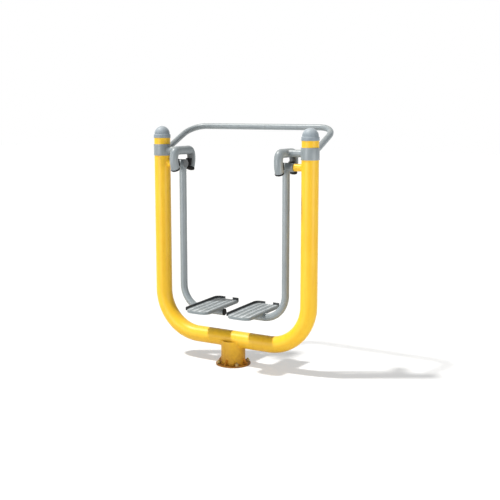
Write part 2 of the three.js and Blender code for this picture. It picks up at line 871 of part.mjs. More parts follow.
// One pedal with its edge, saddle and screws, tilted a little about the leg tube with its heel
// up. Both pedals are the same, not mirrored.
function pedal(side, x) {
  const group = new THREE.Group();
  group.position.z = -legBottomHeight;
  group.add(
    piece(`pedal_tray_${side}`, pedalTray(), greyPaint),
    piece(`pedal_kerb_${side}`, pedalKerb(), darkPlastic),
    piece(`heel_stop_${side}`, heelStop(), darkPlastic),
    piece(`pedal_saddle_${side}`, pedalSaddle(), greyPaint),
  );
  for (const [place, y] of [['front', -screwSpread], ['rear', screwSpread]]) {
    const screw = piece(`pedal_screw_${side}_${place}`, pedalScrew(), zinc);
    screw.position.y = y;
    group.add(screw);
  }
  const tilted = new THREE.Group();
  tilted.position.set(x, 0, legBottomHeight);
  tilted.rotation.x = radians(pedalTiltDegrees);
  tilted.add(group);
  return tilted;
}

// All that one post carries. The left side is the right one turned half round.
function sideParts(side) {
  const turned = side === 'left';
  const otherEnd = { front: 'rear', rear: 'front' };
  const turnedName = (place) => (turned ? otherEnd[place] : place);
  const group = new THREE.Group();
  group.rotation.z = turned ? Math.PI : 0;
  group.add(postFittings(side, turnedName), pivotParts(side), leg(side));
  return group;
}

const airWalker = new THREE.Group();
airWalker.name = 'air_walker';
airWalker.add(
  base(),
  handrail(),
  sideParts('left'),
  sideParts('right'),
  pedal('left', -pedalOffset),
  pedal('right', pedalOffset),
);

export default airWalker;
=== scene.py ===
# Outdoor air walker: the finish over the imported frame, piece by piece.
# Metres. +X is right, +Y is away from the front, +Z is up, and the floor is at height 0.
import math

import bmesh
import bpy
import numpy as np
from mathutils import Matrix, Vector


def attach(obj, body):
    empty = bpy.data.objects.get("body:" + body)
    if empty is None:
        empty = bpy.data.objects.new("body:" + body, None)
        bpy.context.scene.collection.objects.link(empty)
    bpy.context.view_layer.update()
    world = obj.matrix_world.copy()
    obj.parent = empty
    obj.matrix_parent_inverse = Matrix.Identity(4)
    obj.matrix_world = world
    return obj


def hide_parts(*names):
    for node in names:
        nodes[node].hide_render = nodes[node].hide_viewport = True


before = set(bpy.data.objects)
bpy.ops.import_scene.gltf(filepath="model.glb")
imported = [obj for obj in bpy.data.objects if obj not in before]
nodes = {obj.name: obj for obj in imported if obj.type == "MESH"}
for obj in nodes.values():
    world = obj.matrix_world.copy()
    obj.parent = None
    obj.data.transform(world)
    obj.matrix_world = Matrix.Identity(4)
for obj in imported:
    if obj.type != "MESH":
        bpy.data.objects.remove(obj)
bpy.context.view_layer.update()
print("frame loaded:", len(nodes), "nodes")

up = np.array((0.0, 0.0, 1.0))
right = np.array((1.0, 0.0, 0.0))
back = np.array((0.0, 1.0, 0.0))
quarterTurn = math.pi / 2
gap = 0.0003  # between neighbouring pieces, as in the solids
meshing = {"merge": 2e-6, "sharp": 32, "bevelSteps": 3, "bevelAngle": 30}


# Shapes as grids of points

def gridMesh(points, closeRows=False, closeColumns=False):
    # one face between every four neighbours; a closed grid joins its last row or column to its first
    rows, columns = points.shape[:2]
    r = np.arange(rows if closeRows else rows - 1)[:, None]
    c = np.arange(columns if closeColumns else columns - 1)[None, :]
    nextR, nextC = (r + 1) % rows, (c + 1) % columns
    corners = (r * columns + c, r * columns + nextC, nextR * columns + nextC, nextR * columns + c)
    faces = np.stack([np.broadcast_to(k, (r.size, c.size)) for k in corners], axis=-1)
    return points.reshape(-1, 3), faces.reshape(-1, 4)


def unit(vectors):
    return vectors / np.linalg.norm(vectors, axis=-1, keepdims=True)


def joined(*parts):
    # arrays and single numbers side by side, as the coordinates of points
    return np.stack(np.broadcast_arrays(*parts), axis=-1)


def arc(centre, size, start, end, count):
    # point = centre + (width * cos a, height * sin a), with one size for both on a circle
    width, height = np.broadcast_to(size, 2)
    turn = np.linspace(start, end, count)
    return joined(centre[0] + width * np.cos(turn), centre[1] + height * np.sin(turn))


def travelled(path):
    # the distance along a path at each of its points
    return np.concatenate([[0], np.cumsum(np.linalg.norm(np.diff(path, axis=0), axis=1))])


def readOff(wanted, along, values):
    # every column of the values at the wanted distances
    return joined(*[np.interp(wanted, along, column) for column in values.T])


def roundedEnds(distance, length, radius):
    # 1 along a run, and sqrt(1 - (1 - d / radius) squared) where an end is nearer than the
    # radius, d being the distance to it
    toEnd = np.clip(np.minimum(distance, length - distance) / radius, 0, 1)
    return np.sqrt(1 - (1 - toEnd) ** 2)


def closeAtEnds(first, last, radius, count, plain=()):
    # distances from first to last, in close steps round a quarter turn at each end
    steps = radius * (1 - np.cos(np.linspace(0, quarterTurn, count)))
    return np.concatenate([first + steps, plain, last - steps[::-1]])


def bentLine(start, heading, axis, moves, turnStep=3):
    # runs and round bends about one axis. On a bend of radius R, after a turn t:
    # point = start + R * (sin t * heading + (1 - cos t) * inward), inward = axis x heading
    points, headings = [np.array([start], float)], [np.array([heading], float)]
    for kind, *sizes in moves:
        at, along = points[-1][-1], headings[-1][-1]
        if kind == "run":
            points.append(at[None] + along * sizes[0])
            headings.append(along[None])
            continue
        radius, degrees = sizes
        inward = np.cross(axis, along)
        turn = np.radians(np.linspace(0, degrees, max(2, round(degrees / turnStep)) + 1))[1:, None]
        points.append(at + radius * (np.sin(turn) * along + (1 - np.cos(turn)) * inward))
        headings.append(np.cos(turn) * along + np.sin(turn) * inward)
    return np.concatenate(points), np.concatenate(headings)


def tubeRings(line, side, radius, sides):
    # ring point = station + radius * (cos a * side + sin a * (heading x side))
    points, headings = line
    turn = np.linspace(0, 2 * np.pi, sides, endpoint=False)[None, :, None]
    around = np.cross(headings, side)[:, None]
    return points[:, None] + radius * (np.cos(turn) * side + np.sin(turn) * around)


def meet(ring, heading, bar):
    # slides ring points along the heading until they lie on a round bar: the first root t of
    # |across + t * aim| = radius, where across and aim are the parts square to the bar's axis
    axisPoint, axis, radius = bar
    offset = ring - np.array(axisPoint)
    across = offset - (offset @ axis)[:, None] * axis
    aim = heading - (heading @ axis) * axis
    a, b = aim @ aim, across @ aim
    c = (across ** 2).sum(axis=1) - radius ** 2
    t = (-b - np.sqrt(np.maximum(b * b - a * c, 0))) / a
    return ring + t[:, None] * heading


def pipe(line, side, outside, wall, sides=48, first=None, last=None):
    # a closed tube: outer wall, inner wall and an edge at each end, flat or fitted to a bar
    walls = []
    for radius in (outside / 2, outside / 2 - wall):
        rings = tubeRings(line, side, radius, sides)
        if first:
            rings[0] = meet(rings[0], -line[1][0], first)
        if last:
            rings[-1] = meet(rings[-1], line[1][-1], last)
        walls.append(rings)
    return gridMesh(np.concatenate([walls[0], walls[1][::-1]]), True, True)


def filleted(corners, radius, steps=4, closed=False):
    # each corner becomes an arc: centre = corner + bisector * radius / sin(half the corner's angle)
    points = np.array(corners, float)
    radii = np.broadcast_to(radius, len(points)).astype(float)[:, None]
    toBefore = unit(np.roll(points, 1, axis=0) - points)
    toAfter = unit(np.roll(points, -1, axis=0) - points)
    half = np.arccos(np.clip((toBefore * toAfter).sum(axis=1), -1, 1))[:, None] / 2
    flattest = 1e-3
    half = np.clip(half, flattest, quarterTurn - flattest)
    centre = points + unit(toBefore + toAfter + 1e-12) * radii / np.sin(half)
    first = points + toBefore * radii / np.tan(half) - centre
    last = points + toAfter * radii / np.tan(half) - centre
    sweep = (np.pi - 2 * half)[:, :, None]
    share = np.linspace(0, 1, steps + 1)[None, :, None]
    spokes = np.sin((1 - share) * sweep) * first[:, None] + np.sin(share * sweep) * last[:, None]
    arcs = centre[:, None] + spokes / np.sin(sweep)
    if closed:
        return arcs.reshape(-1, 2)
    return np.concatenate([points[:1], arcs[1:-1].reshape(-1, 2), points[-1:]])


def turned(profile, sides=48, centre=(0, 0, 0), axis=up, radiusAt=None):
    # point = centre + height * axis + radius * (cos a * u + sin a * v), u and v square to the axis
    profile = np.array(profile, float)
    axis = unit(np.array(axis, float))
    u = unit(np.cross(back if abs(axis[1]) < 0.9 else right, axis))
    v = np.cross(axis, u)
    turn = np.linspace(0, 2 * np.pi, sides, endpoint=False)
    radius = np.repeat(profile[:, :1], sides, axis=1)
    if radiusAt is not None:
        radius = radiusAt(radius, turn[None, :], profile[:, 1:])
    spokes = np.cos(turn)[:, None] * u + np.sin(turn)[:, None] * v
    points = np.array(centre, float) + profile[:, 1, None, None] * axis + radius[:, :, None] * spokes
    return gridMesh(points, False, True)


def barProfile(radius, low, high):
    # half section of a round bar or a disc
    return [(0, low), (radius, low), (radius, high), (0, high)]


def ringProfile(bore, radius, low, high, edge, boreEdge):
    # half section of a short sleeve, from the middle of its bore round to there again
    middle = (low + high) / 2
    corners = [(bore, middle), (bore, low), (radius, low), (radius, high), (bore, high), (bore, middle)]
    return filleted(corners, [0, boreEdge, edge, edge, boreEdge, 0])


def prism(outline, low, high, place):
    # an outline of two sizes raised along a third; place turns (a, b, height) into (x, y, z)
    a, b = np.array(outline, float).T
    ends = [joined(*place(a, b, height)) for height in (low, high)]
    around = np.arange(len(a))[None]
    return [gridMesh(np.stack(ends), False, True), (ends[0], around[:, ::-1]), (ends[1], around)]


def cushion(outline, middle, half, centre, side, rise, slim):
    # an outline (a, b) carried along a path and drawn in near the ends. Point = centre
    # + a * (1 - slim / half width) * side + (middle + (b - middle) * (1 - slim / half height)) * rise
    a = outline[:, 0] * (1 - slim[:, None] / half[0])
    b = middle + (outline[:, 1] - middle) * (1 - slim[:, None] / half[1])
    rows = centre[:, None] + a[:, :, None] * side[..., None, :] + b[:, :, None] * rise[..., None, :]
    ends = [np.repeat(rows[k].mean(axis=0)[None, None], rows.shape[1], axis=1) for k in (0, -1)]
    return np.concatenate([ends[0], rows, ends[1]])


# Weld beads: sizes by place, and the ripple and wander that every bead has
weld = {"saddle": 0.0042, "foot": 0.004, "gusset": 0.0028, "tube": 0.0034, "rail": 0.0032, "out": 0.001,
        "footOut": 0.0015, "footUp": 0.0012, "seamSteps": 90, "sharp": 80, "ripple": 0.14, "pitch": 0.0052,
        "wander": 0.1, "wanderWaves": (61, 23), "spacing": 0.0013, "sides": 10,
        "spareLead": (0.36, 0.48, 0.8)}


def weldBead(path, size, closed=False):
    # a bead along a seam: radius = size * (1 + ripple * sin(2 pi * distance / pitch)), and at an
    # open end it closes as a quarter round
    path = np.concatenate([path, path[:1]]) if closed else path
    along = travelled(path)
    length = along[-1]
    distance = np.linspace(0, length, max(8, int(length / weld["spacing"])), endpoint=not closed)
    points = readOff(distance, along, path)
    if closed:
        tangent = unit(np.roll(points, -1, axis=0) - np.roll(points, 1, axis=0))
    else:
        tangent = unit(np.gradient(points, axis=0))
    lead = back if abs(tangent[:, 1]).max() < 0.7 else np.array(weld["spareLead"])
    u = unit(np.cross(tangent, lead))
    v = np.cross(tangent, u)
    waves = max(1, round(length / weld["pitch"]))
    radius = size * (1 + weld["ripple"] * np.sin(2 * np.pi * waves * distance / length))
    fast, slow = weld["wanderWaves"]
    radius *= 1 + weld["wander"] * np.sin(distance * fast) * np.sin(distance * slow + 1)
    if not closed:
        radius *= roundedEnds(distance, length, size)
    turn = np.linspace(0, 2 * np.pi, weld["sides"], endpoint=False)[None, :, None]
    ring = np.cos(turn) * u[:, None] + np.sin(turn) * v[:, None]
    return gridMesh(points[:, None] + radius[:, None, None] * ring, closed, True)


def tubeBead(line, side, diameter, station, bar, size=weld["tube"], steps=weld["seamSteps"]):
    # a bead where a tube's outside meets a round bar, at its first station, 0, or its last, -1
    heading = line[1][station] * (1 if station else -1)
    seam = meet(tubeRings(line, side, diameter / 2, steps)[station], heading, bar)
    return weldBead(seam, size, True)


def addPiece(name, shapes, body, finish, stands=(), sharp=meshing["sharp"], bevel=0):
    # joins shapes into one mesh, closes its seams and poles, and turns its faces outwards
    points, faces, count = [], [], 0
    for shapePoints, shapeFaces in shapes:
        points.append(shapePoints)
        faces.extend((np.asarray(shapeFaces) + count).tolist())
        count += len(shapePoints)
    mesh = bpy.data.meshes.new(name)
    mesh.from_pydata(np.concatenate(points).tolist(), [], faces)
    shell = bmesh.new()
    shell.from_mesh(mesh)
    bmesh.ops.remove_doubles(shell, verts=shell.verts, dist=meshing["merge"])
    bmesh.ops.recalc_face_normals(shell, faces=shell.faces)
    shell.to_mesh(mesh)
    shell.free()
    mesh.shade_smooth()
    mesh.set_sharp_from_angle(angle=math.radians(sharp))
    piece = bpy.data.objects.new(name, mesh)
    bpy.context.scene.collection.objects.link(piece)
    if bevel:
        edge = piece.modifiers.new("edge", "BEVEL")
        edge.width = bevel
        edge.segments = meshing["bevelSteps"]
        edge.limit_method = "ANGLE"
        edge.angle_limit = math.radians(meshing["bevelAngle"])
    mesh.materials.append(finish)
    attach(piece, body)
    if stands:
        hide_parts(*stands)
    return piece


def addWelds(name, beads, body, finish):
    return addPiece(name, beads, body, finish, sharp=weld["sharp"])


# Materials

class Wire:
    # a socket of a material's nodes; arithmetic on it adds Math nodes
    def __init__(self, finish, socket):
        self.finish, self.socket = finish, socket

    def maths(self, operation, *values):
        return self.finish.node("Math", {"operation": operation}, dict(enumerate((self, *values))))

    def __add__(self, other):
        return self.maths("ADD", other)

    def __sub__(self, other):
        return self.maths("SUBTRACT", other)

    def __rsub__(self, other):
        # other - this = this * -1 + other
        return self.maths("MULTIPLY_ADD", -1, other)

    def __mul__(self, other):
        return self.maths("MULTIPLY", other)

    def __truediv__(self, other):
        return self.maths("DIVIDE", other)

    def over(self, limit, softness, least=0):
        # the least value below the limit and 1 above it, with a soft step
        return self.finish.node("MapRange", {"interpolation_type": "SMOOTHSTEP"}, {
            "Value": self, "From Min": limit - softness, "From Max": limit + softness, "To Min": least})

    __radd__ = __add__


class Finish:
    # one material: a Principled surface with what the piece's maker sets, and nodes for the rest
    def __init__(self, name, **constants):
        self.material = bpy.data.materials.new(name)
        self.material.use_nodes = True
        self.tree = self.material.node_tree
        self.surface = self.tree.nodes["Principled BSDF"]
        for socket, value in constants.items():
            self.surface.inputs[socket.replace("_", " ")].default_value = value
        self.place = self.node("TexCoord", output="Object")

    def node(self, kind, settings=None, inputs=None, output=0):
        made = self.tree.nodes.new("ShaderNode" + kind)
        for setting, value in (settings or {}).items():
            setattr(made, setting, value)
        for socket, value in (inputs or {}).items():
            if isinstance(value, Wire):
                self.tree.links.new(value.socket, made.inputs[socket])
            else:
                made.inputs[socket].default_value = value
        return None if output is None else Wire(self, made.outputs[output])

    def noise(self, scale, detail, roughness, stretch=None, seed=0):
        place = self.place
        if stretch or seed:
            place = self.node("Mapping", inputs={
                "Vector": place, "Location": (seed, seed * 0.7, seed * 0.3), "Scale": stretch or (1, 1, 1)})
        return self.node("TexNoise", inputs={
            "Vector": place, "Scale": scale, "Detail": detail, "Roughness": roughness})

    def axis(self, name):
        return self.node("SeparateXYZ", inputs={0: self.place}, output=name)

    def facing(self, name):
        normal = self.node("NewGeometry", output="Normal")
        return self.node("SeparateXYZ", inputs={0: normal}, output=name)

    def blend(self, share, first, second, kind="MIX"):
        settings = {"data_type": "RGBA", "blend_type": kind}
        return self.node("Mix", settings, {0: share, 6: first, 7: second}, output=2)

    def bump(self, height, strength, distance, under=None):
        inputs = {"Height": height, "Strength": strength, "Distance": distance}
        if under:
            inputs["Normal"] = under
        return self.node("Bump", inputs=inputs)

    def connect(self, **wires):
        for socket, wire in wires.items():
            self.tree.links.new(wire.socket, self.surface.inputs[socket.replace("_", " ")])
        return self.material


def mottled(roughness, shares, **wires):
    # roughness plus the sum of every wire times its share, less the mean of that sum
    return sum(wire * shares[name] for name, wire in wires.items()) + (roughness - shares["mean"])


def colour(red, green, blue):
    # display values of 0 to 255 as the linear colour that sockets take
    shares = np.array((red, green, blue)) / 255
    linear = np.where(shares <= 0.04045, shares / 12.92, ((shares + 0.055) / 1.055) ** 2.4)
    return (*linear.tolist(), 1.0)


# Powder coat: mottled colour, a faint orange peel, dust on top, grime and painted shade low down,
# painted shade on the faces that look in at the pivot, a few chips. A noise is its scale, detail,
# roughness, stretch and seed; a cut is its limit, softness and least value.
coatNoise = {"patches": (5, 4, 0.55), "streaks": (9, 3, 0.6, (6, 6, 0.5), 3), "peel": (330, 2, 0.4),
             "speckle": (38, 5, 0.65, None, 7), "chips": (120, 2, 0.5, None, 11),
             "chipAreas": (7, 2, 0.5, None, 13)}
coatCut = {"patches": (0.5, 0.22), "streaks": (0.62, 0.12), "upwards": (0.75, 0.25), "dust": (0.52, 0.2),
           "low": (0.5, 0.5), "lying": (0.2, 0.6), "grime": (0.42, 0.3, 0.5), "inwards": (0.4, 0.3),
           "scuff": (0.45, 0.3, 0.6), "chips": (0.735, 0.012), "chipAreas": (0.55, 0.08)}
coatGloss = {"patches": 0.06, "streaks": 0.05, "dust": 0.35, "grime": 0.2, "worn": 0.2, "mean": 0.055}
coatRelief = {"peel": 0.0006, "chip": 0.0003, "chipStrength": 0.35}


def powderCoat(name, look):
    coat = Finish(name, Coat_Roughness=look["coatRoughness"], Specular_IOR_Level=look["specular"])
    patches = coat.noise(*coatNoise["patches"])
    streaks = coat.noise(*coatNoise["streaks"])
    base = coat.blend(patches.over(*coatCut["patches"]), look["colour"], look["pale"])
    base = coat.blend(streaks.over(*coatCut["streaks"]) * look["streak"], base, look["deep"])
    speckle = coat.noise(*coatNoise["speckle"])
    upwards = coat.facing("Z")
    dust = upwards.over(*coatCut["upwards"]) * speckle.over(*coatCut["dust"]) * look["dust"]
    base = coat.blend(dust, base, look["dustColour"])
    # grime and painted shade: darker towards the ground, more so on faces that look up, for the shade low
    # on the frame
    low = 1 - (coat.axis("Z") / look["grimeHeight"]).over(*coatCut["low"])
    lying = upwards.over(*coatCut["lying"]) * look["lying"]
    grime = low * (speckle.over(*coatCut["grime"]) + lying) * look["grime"]
    base = coat.blend(grime, base, look["grimeColour"])
    # painted shade: dark grey speckles on the faces that look in at the pivot, for the shade inside the
    # hoops
    across = coat.axis("Y")
    inwards = coat.facing("Y") * across.maths("SIGN") * -1
    scuff = inwards.over(*coatCut["inwards"]) * speckle.over(*coatCut["scuff"]) * look["scuff"]
    base = coat.blend(scuff, base, look["scuffColour"])
    chips = coat.noise(*coatNoise["chips"]).over(*coatCut["chips"])
    worn = chips * coat.noise(*coatNoise["chipAreas"]).over(*coatCut["chipAreas"])
    base = coat.blend(worn * look["chips"], base, look["primer"])
    gloss = mottled(look["roughness"], coatGloss, patches=patches, streaks=streaks, dust=dust, grime=grime,
                    worn=worn)
    peel = coat.bump(coat.noise(*coatNoise["peel"]), look["peel"], coatRelief["peel"])
    relief = coat.bump(1 - worn, coatRelief["chipStrength"], coatRelief["chip"], peel)
    return coat.connect(
        Base_Color=base, Roughness=gloss, Coat_Weight=(1 - dust) * look["coat"], Normal=relief)


yellowLook = {
    "colour": colour(252, 198, 41), "pale": colour(253, 205, 51), "deep": colour(240, 176, 28),
    "primer": colour(150, 104, 40), "dustColour": colour(214, 176, 96), "grimeColour": colour(164, 102, 16),
    "roughness": 0.42, "coatRoughness": 0.3, "specular": 0.3, "coat": 0.14,
    "streak": 0.35, "dust": 0.3, "grime": 0.7, "grimeHeight": 0.27, "lying": 0.3,
    "scuff": 0.0, "scuffColour": colour(62, 64, 65), "chips": 0.7, "peel": 0.06,
}
greyLook = {
    "colour": colour(138, 147, 151), "pale": colour(147, 156, 160), "deep": colour(122, 130, 133),
    "primer": colour(92, 94, 94), "dustColour": colour(186, 183, 172), "grimeColour": colour(134, 132, 124),
    "roughness": 0.42, "coatRoughness": 0.34, "specular": 0.45, "coat": 0.35,
    "streak": 0.4, "dust": 0.3, "grime": 0.2, "grimeHeight": 0.5, "lying": 0.0,
    "scuff": 0.0, "scuffColour": colour(62, 64, 65), "chips": 0.8, "peel": 0.06,
}
yellowPaint = powderCoat("yellow_powder_coat", yellowLook)
# the plate and its webs are darker and browner: partly soil splashed over them, partly painted shade on the
# base
basePaint = powderCoat("yellow_powder_coat_base", yellowLook | {
    "colour": colour(206, 133, 25), "pale": colour(216, 145, 33), "deep": colour(158, 97, 12),
    "grimeColour": colour(126, 84, 12), "grime": 0.9, "grimeHeight": 0.06, "lying": 0.1, "coat": 0.08,
})
greyPaint = powderCoat("grey_powder_coat", greyLook)
# the hoops take painted shade on their inner faces
hoopPaint = powderCoat("grey_powder_coat_hoop", greyLook | {"scuff": 0.85})


# Tread: powder coat rubbed pale in long streaks, with dirt between the ribs and painted shade along its
# sides
treadNoise = {"smear": (40, 5, 0.65, (1, 0.3, 1), 17), "wander": (16, 2, 0.4, (1, 0.3, 1), 19),
              "dashes": (75, 2, 0.5, (1, 0.45, 1), 23), "peel": (260, 2, 0.5)}
treadCut = {"top": (0.8, 0.15), "dashes": (0.44, 0.06, 0.5), "bands": (0.1, 0.6), "grooves": (0.05, 0.5),
            "dirt": (0.45, 0.25, 0.4), "ribs": (0.55, 0.3), "rub": (0.5, 0.2)}
treadWear = {"wander": 2.4, "rimIn": 0.012, "rimSoft": 0.014, "peelDeep": 0.0006}
treadGloss = {"dirt": 0.3, "smear": 0.1, "rubbed": -0.12, "mean": 0}


def treadCoat(name, look, offset, pitch, half):
    tread = Finish(name, Specular_IOR_Level=look["specular"], Coat_Roughness=look["coatRoughness"])
    across = tread.axis("X")
    local = across - across.maths("SIGN") * offset
    # wave = cos(2 pi * local x / pitch + pi): 1 on a rib and -1 in a groove
    phase = local * (math.tau / pitch) + math.pi
    wave = phase.maths("COSINE")
    fromTop = tread.facing("Z").over(*treadCut["top"])
    smear = tread.noise(*treadNoise["smear"])
    # every second rib is rubbed paler, in dashes: band = cos(pi * local x / pitch + noise)
    band = phase * 0.5 + tread.noise(*treadNoise["wander"]) * treadWear["wander"]
    dashes = tread.noise(*treadNoise["dashes"]).over(*treadCut["dashes"])
    streaks = band.maths("COSINE").over(*treadCut["bands"]) * dashes
    base = tread.blend(fromTop * streaks, look["colour"], look["streakColour"])
    grooves = fromTop * (1 - wave.over(*treadCut["grooves"]))
    dirt = grooves * smear.over(*treadCut["dirt"]) * look["dirt"]
    base = tread.blend(dirt, base, look["dirtColour"])
    rubbed = fromTop * wave.over(*treadCut["ribs"]) * smear.over(*treadCut["rub"]) * look["rub"]
    base = tread.blend(rubbed, base, look["rubColour"])
    # painted shade: darker near the tray's sides, for the shade beside the kerb
    rim = local.maths("ABSOLUTE").over(half - treadWear["rimIn"], treadWear["rimSoft"])
    base = tread.blend(rim * look["rimDirt"], base, look["dirtColour"])
    gloss = mottled(look["roughness"], treadGloss, dirt=dirt, smear=smear, rubbed=rubbed)
    peel = tread.bump(tread.noise(*treadNoise["peel"]), look["peel"], treadWear["peelDeep"])
    return tread.connect(
        Base_Color=base, Roughness=gloss, Coat_Weight=(1 - dirt) * look["coat"], Normal=peel)


# Moulded plastic: fine grain, and a paler top that is partly faded and partly painted top light
plasticNoise = {"cloud": (14, 3, 0.6), "scuff": (60, 4, 0.7, (1, 0.15, 1), 5), "grain": (900, 2, 0.5)}
plasticCut = {"cloud": (0.5, 0.25), "faded": (0.55, 0.45), "scuff": (0.64, 0.05)}
plasticGloss = {"cloud": 0.1, "scuff": 0.15, "mean": 0.05}
grainDeep = 0.0004


def mouldedPlastic(name, look):
    plastic = Finish(name, Specular_IOR_Level=look["specular"])
    cloud = plastic.noise(*plasticNoise["cloud"])
    base = plastic.blend(cloud.over(*plasticCut["cloud"]), look["colour"], look["pale"])
    # paler on faces that look up: fading, and painted light from above
    faded = plastic.facing("Z").over(*plasticCut["faded"]) * look["fade"]
    base = plastic.blend(faded, base, look["fadeColour"])
    # scuffs: paler streaks worn into the plastic
    scuff = plastic.noise(*plasticNoise["scuff"]).over(*plasticCut["scuff"]) * look["scuff"]
    base = plastic.blend(scuff, base, look["scuffColour"])
    grain = plastic.bump(plastic.noise(*plasticNoise["grain"]), look["grain"], grainDeep)
    gloss = mottled(look["roughness"], plasticGloss, cloud=cloud, scuff=scuff)
    return plastic.connect(Base_Color=base, Roughness=gloss, Normal=grain)


# the caps' top is strongly paler: painted light from above as well as fading
capPlastic = mouldedPlastic("grey_cap_plastic", {
    "colour": colour(142, 153, 161), "pale": colour(152, 163, 171),
    "fade": 0.7, "fadeColour": colour(192, 200, 205), "scuff": 0.2, "scuffColour": colour(140, 148, 154),
    "roughness": 0.46, "specular": 0.3, "grain": 0.1,
})
darkPlastic = mouldedPlastic("dark_edge_plastic", {
    "colour": colour(58, 61, 64), "pale": colour(66, 69, 72),
    "fade": 0.45, "fadeColour": colour(92, 95, 97), "scuff": 0.5, "scuffColour": colour(112, 114, 114),
    "roughness": 0.5, "specular": 0.35, "grain": 0.16,
})
lidPlastic = mouldedPlastic("grey_lid_plastic", {
    "colour": colour(106, 109, 111), "pale": colour(116, 119, 121),
    "fade": 0.4, "fadeColour": colour(124, 127, 129), "scuff": 0.4, "scuffColour": colour(128, 131, 132),
    "roughness": 0.5, "specular": 0.3, "grain": 0.14,
})
blackRubber = mouldedPlastic("black_rubber", {
    "colour": colour(15, 15, 16), "pale": colour(22, 22, 23),
    "fade": 0.3, "fadeColour": colour(42, 41, 40), "scuff": 0.3, "scuffColour": colour(56, 55, 53),
    "roughness": 0.72, "specular": 0.25, "grain": 0.3,
})


# Steel and zinc: clouded metal with fine turning marks
metalNoise = {"cloud": (45, 4, 0.6), "rust": (85, 5, 0.7, None, 9), "marks": (500, 2, 0.5, (1, 1, 0.1))}
metalCut = {"cloud": (0.5, 0.3), "rust": (0.66, 0.07)}
metalGloss = {"cloud": 0.16, "rust": 0.35, "mean": 0.08}
metalMarks = {"spangle": 160, "strength": 0.15, "deep": 0.0003}


def bareMetal(name, look):
    metal = Finish(name, Metallic=1.0)
    cloud = metal.noise(*metalNoise["cloud"])
    spangle = metal.node("TexVoronoi", {"feature": "F1"}, {
        "Vector": metal.place, "Scale": metalMarks["spangle"]}, "Color")
    base = metal.blend(cloud.over(*metalCut["cloud"]), look["colour"], look["pale"])
    base = metal.blend(look["spangle"], base, spangle, "SOFT_LIGHT")
    rust = metal.noise(*metalNoise["rust"]).over(*metalCut["rust"]) * look["rust"]
    base = metal.blend(rust, base, look["rustColour"])
    gloss = mottled(look["roughness"], metalGloss, cloud=cloud, rust=rust)
    marks = metal.bump(metal.noise(*metalNoise["marks"]), metalMarks["strength"], metalMarks["deep"])
    return metal.connect(Base_Color=base, Roughness=gloss, Metallic=1 - rust, Normal=marks)


bareSteel = bareMetal("bare_steel", {
    "colour": colour(146, 149, 151), "pale": colour(166, 168, 170),
    "spangle": 0.1, "rust": 0.25, "rustColour": colour(112, 84, 62), "roughness": 0.36,
})
zincPlate = bareMetal("zinc_plate", {
    "colour": colour(158, 136, 88), "pale": colour(190, 170, 124),
    "spangle": 0.35, "rust": 0.8, "rustColour": colour(98, 66, 24), "roughness": 0.34,
})
dullZinc = bareMetal("dull_zinc", {
    "colour": colour(112, 116, 117), "pale": colour(128, 132, 133),
    "spangle": 0.2, "rust": 0.2, "rustColour": colour(96, 78, 62), "roughness": 0.58,
})
print("materials made")


# Frame tube, pedestal and base

post = {"x": 0.593, "top": 1.57, "diameter": 0.114, "wall": 0.004}
bottomTube = {"height": 0.18, "bend": 0.3, "sides": 88}
postRun = post["top"] - bottomTube["height"] - bottomTube["bend"]
frameLine = bentLine((-post["x"], 0, post["top"]), -up, -back, [
    ("run", postRun),
    ("bend", bottomTube["bend"], 90),
    ("run", 2 * (post["x"] - bottomTube["bend"])),
    ("bend", bottomTube["bend"], 90),
    ("run", postRun),
])
framePipe = pipe(frameLine, -back, post["diameter"], post["wall"], bottomTube["sides"])
addPiece("frame_tube_skin", [framePipe], "frame", yellowPaint, ["frame_tube"])

pedestal = {"radius": 0.085, "wall": 0.006, "bottom": 0.0103, "rim": 0.173, "rimRound": 0.0016,
            "rimTurns": (0.4, 0.8, 1.2, quarterTurn), "steps": 41}
notchRadius = post["diameter"] / 2 + gap
notchEnd = math.acos((bottomTube["height"] - pedestal["rim"]) / notchRadius)


def pedestalColumns(radius):
    # angles round the pedestal: arcsin(notch * sin t / radius) with even t up to the notch's end,
    # and then even steps along each rim
    t = np.linspace(-notchEnd, notchEnd, pedestal["steps"])
    notchTurn = np.arcsin(notchRadius * np.sin(t) / radius)
    rimTurn = np.linspace(notchTurn[-1], np.pi - notchTurn[-1], pedestal["steps"])[1:-1]
    halfTurn = np.concatenate([notchTurn, rimTurn])
    return np.concatenate([halfTurn, halfTurn + np.pi])


def pedestalWall(radius, inward):
    # rim height = tube axis height - sqrt(notch radius squared - y squared) under the tube, and
    # level in front of it and behind it; the rim's edge is a quarter round towards the metal
    turn = pedestalColumns(radius)
    x, y = radius * np.cos(turn), radius * np.sin(turn)
    saddleCurve = bottomTube["height"] - np.sqrt(np.maximum(notchRadius ** 2 - y ** 2, 0))
    rim = np.minimum(saddleCurve, pedestal["rim"])
    straight = rim - pedestal["rimRound"] - pedestal["bottom"]
    rows = [joined(x, y, pedestal["bottom"] + straight * share) for share in (0, 0.5, 1)]
    for angle in pedestal["rimTurns"]:
        slim = 1 - inward * pedestal["rimRound"] * (1 - math.cos(angle)) / radius
        rows.append(joined(x * slim, y * slim, rim - pedestal["rimRound"] * (1 - math.sin(angle))))
    return np.stack(rows)


outerWall = pedestalWall(pedestal["radius"], 1)
innerWall = pedestalWall(pedestal["radius"] - pedestal["wall"], -1)
pedestalShell = gridMesh(np.concatenate([outerWall, innerWall[::-1]]), True, True)
addPiece("pedestal_shell", [pedestalShell], "frame", yellowPaint, ["pedestal_tube"])

flange = {"radius": 0.122, "thickness": 0.01, "edge": 0.0018, "holes": 4, "holeCircle": 0.104,
          "hole": 0.009, "drillLow": -0.01, "drillHigh": 0.03}

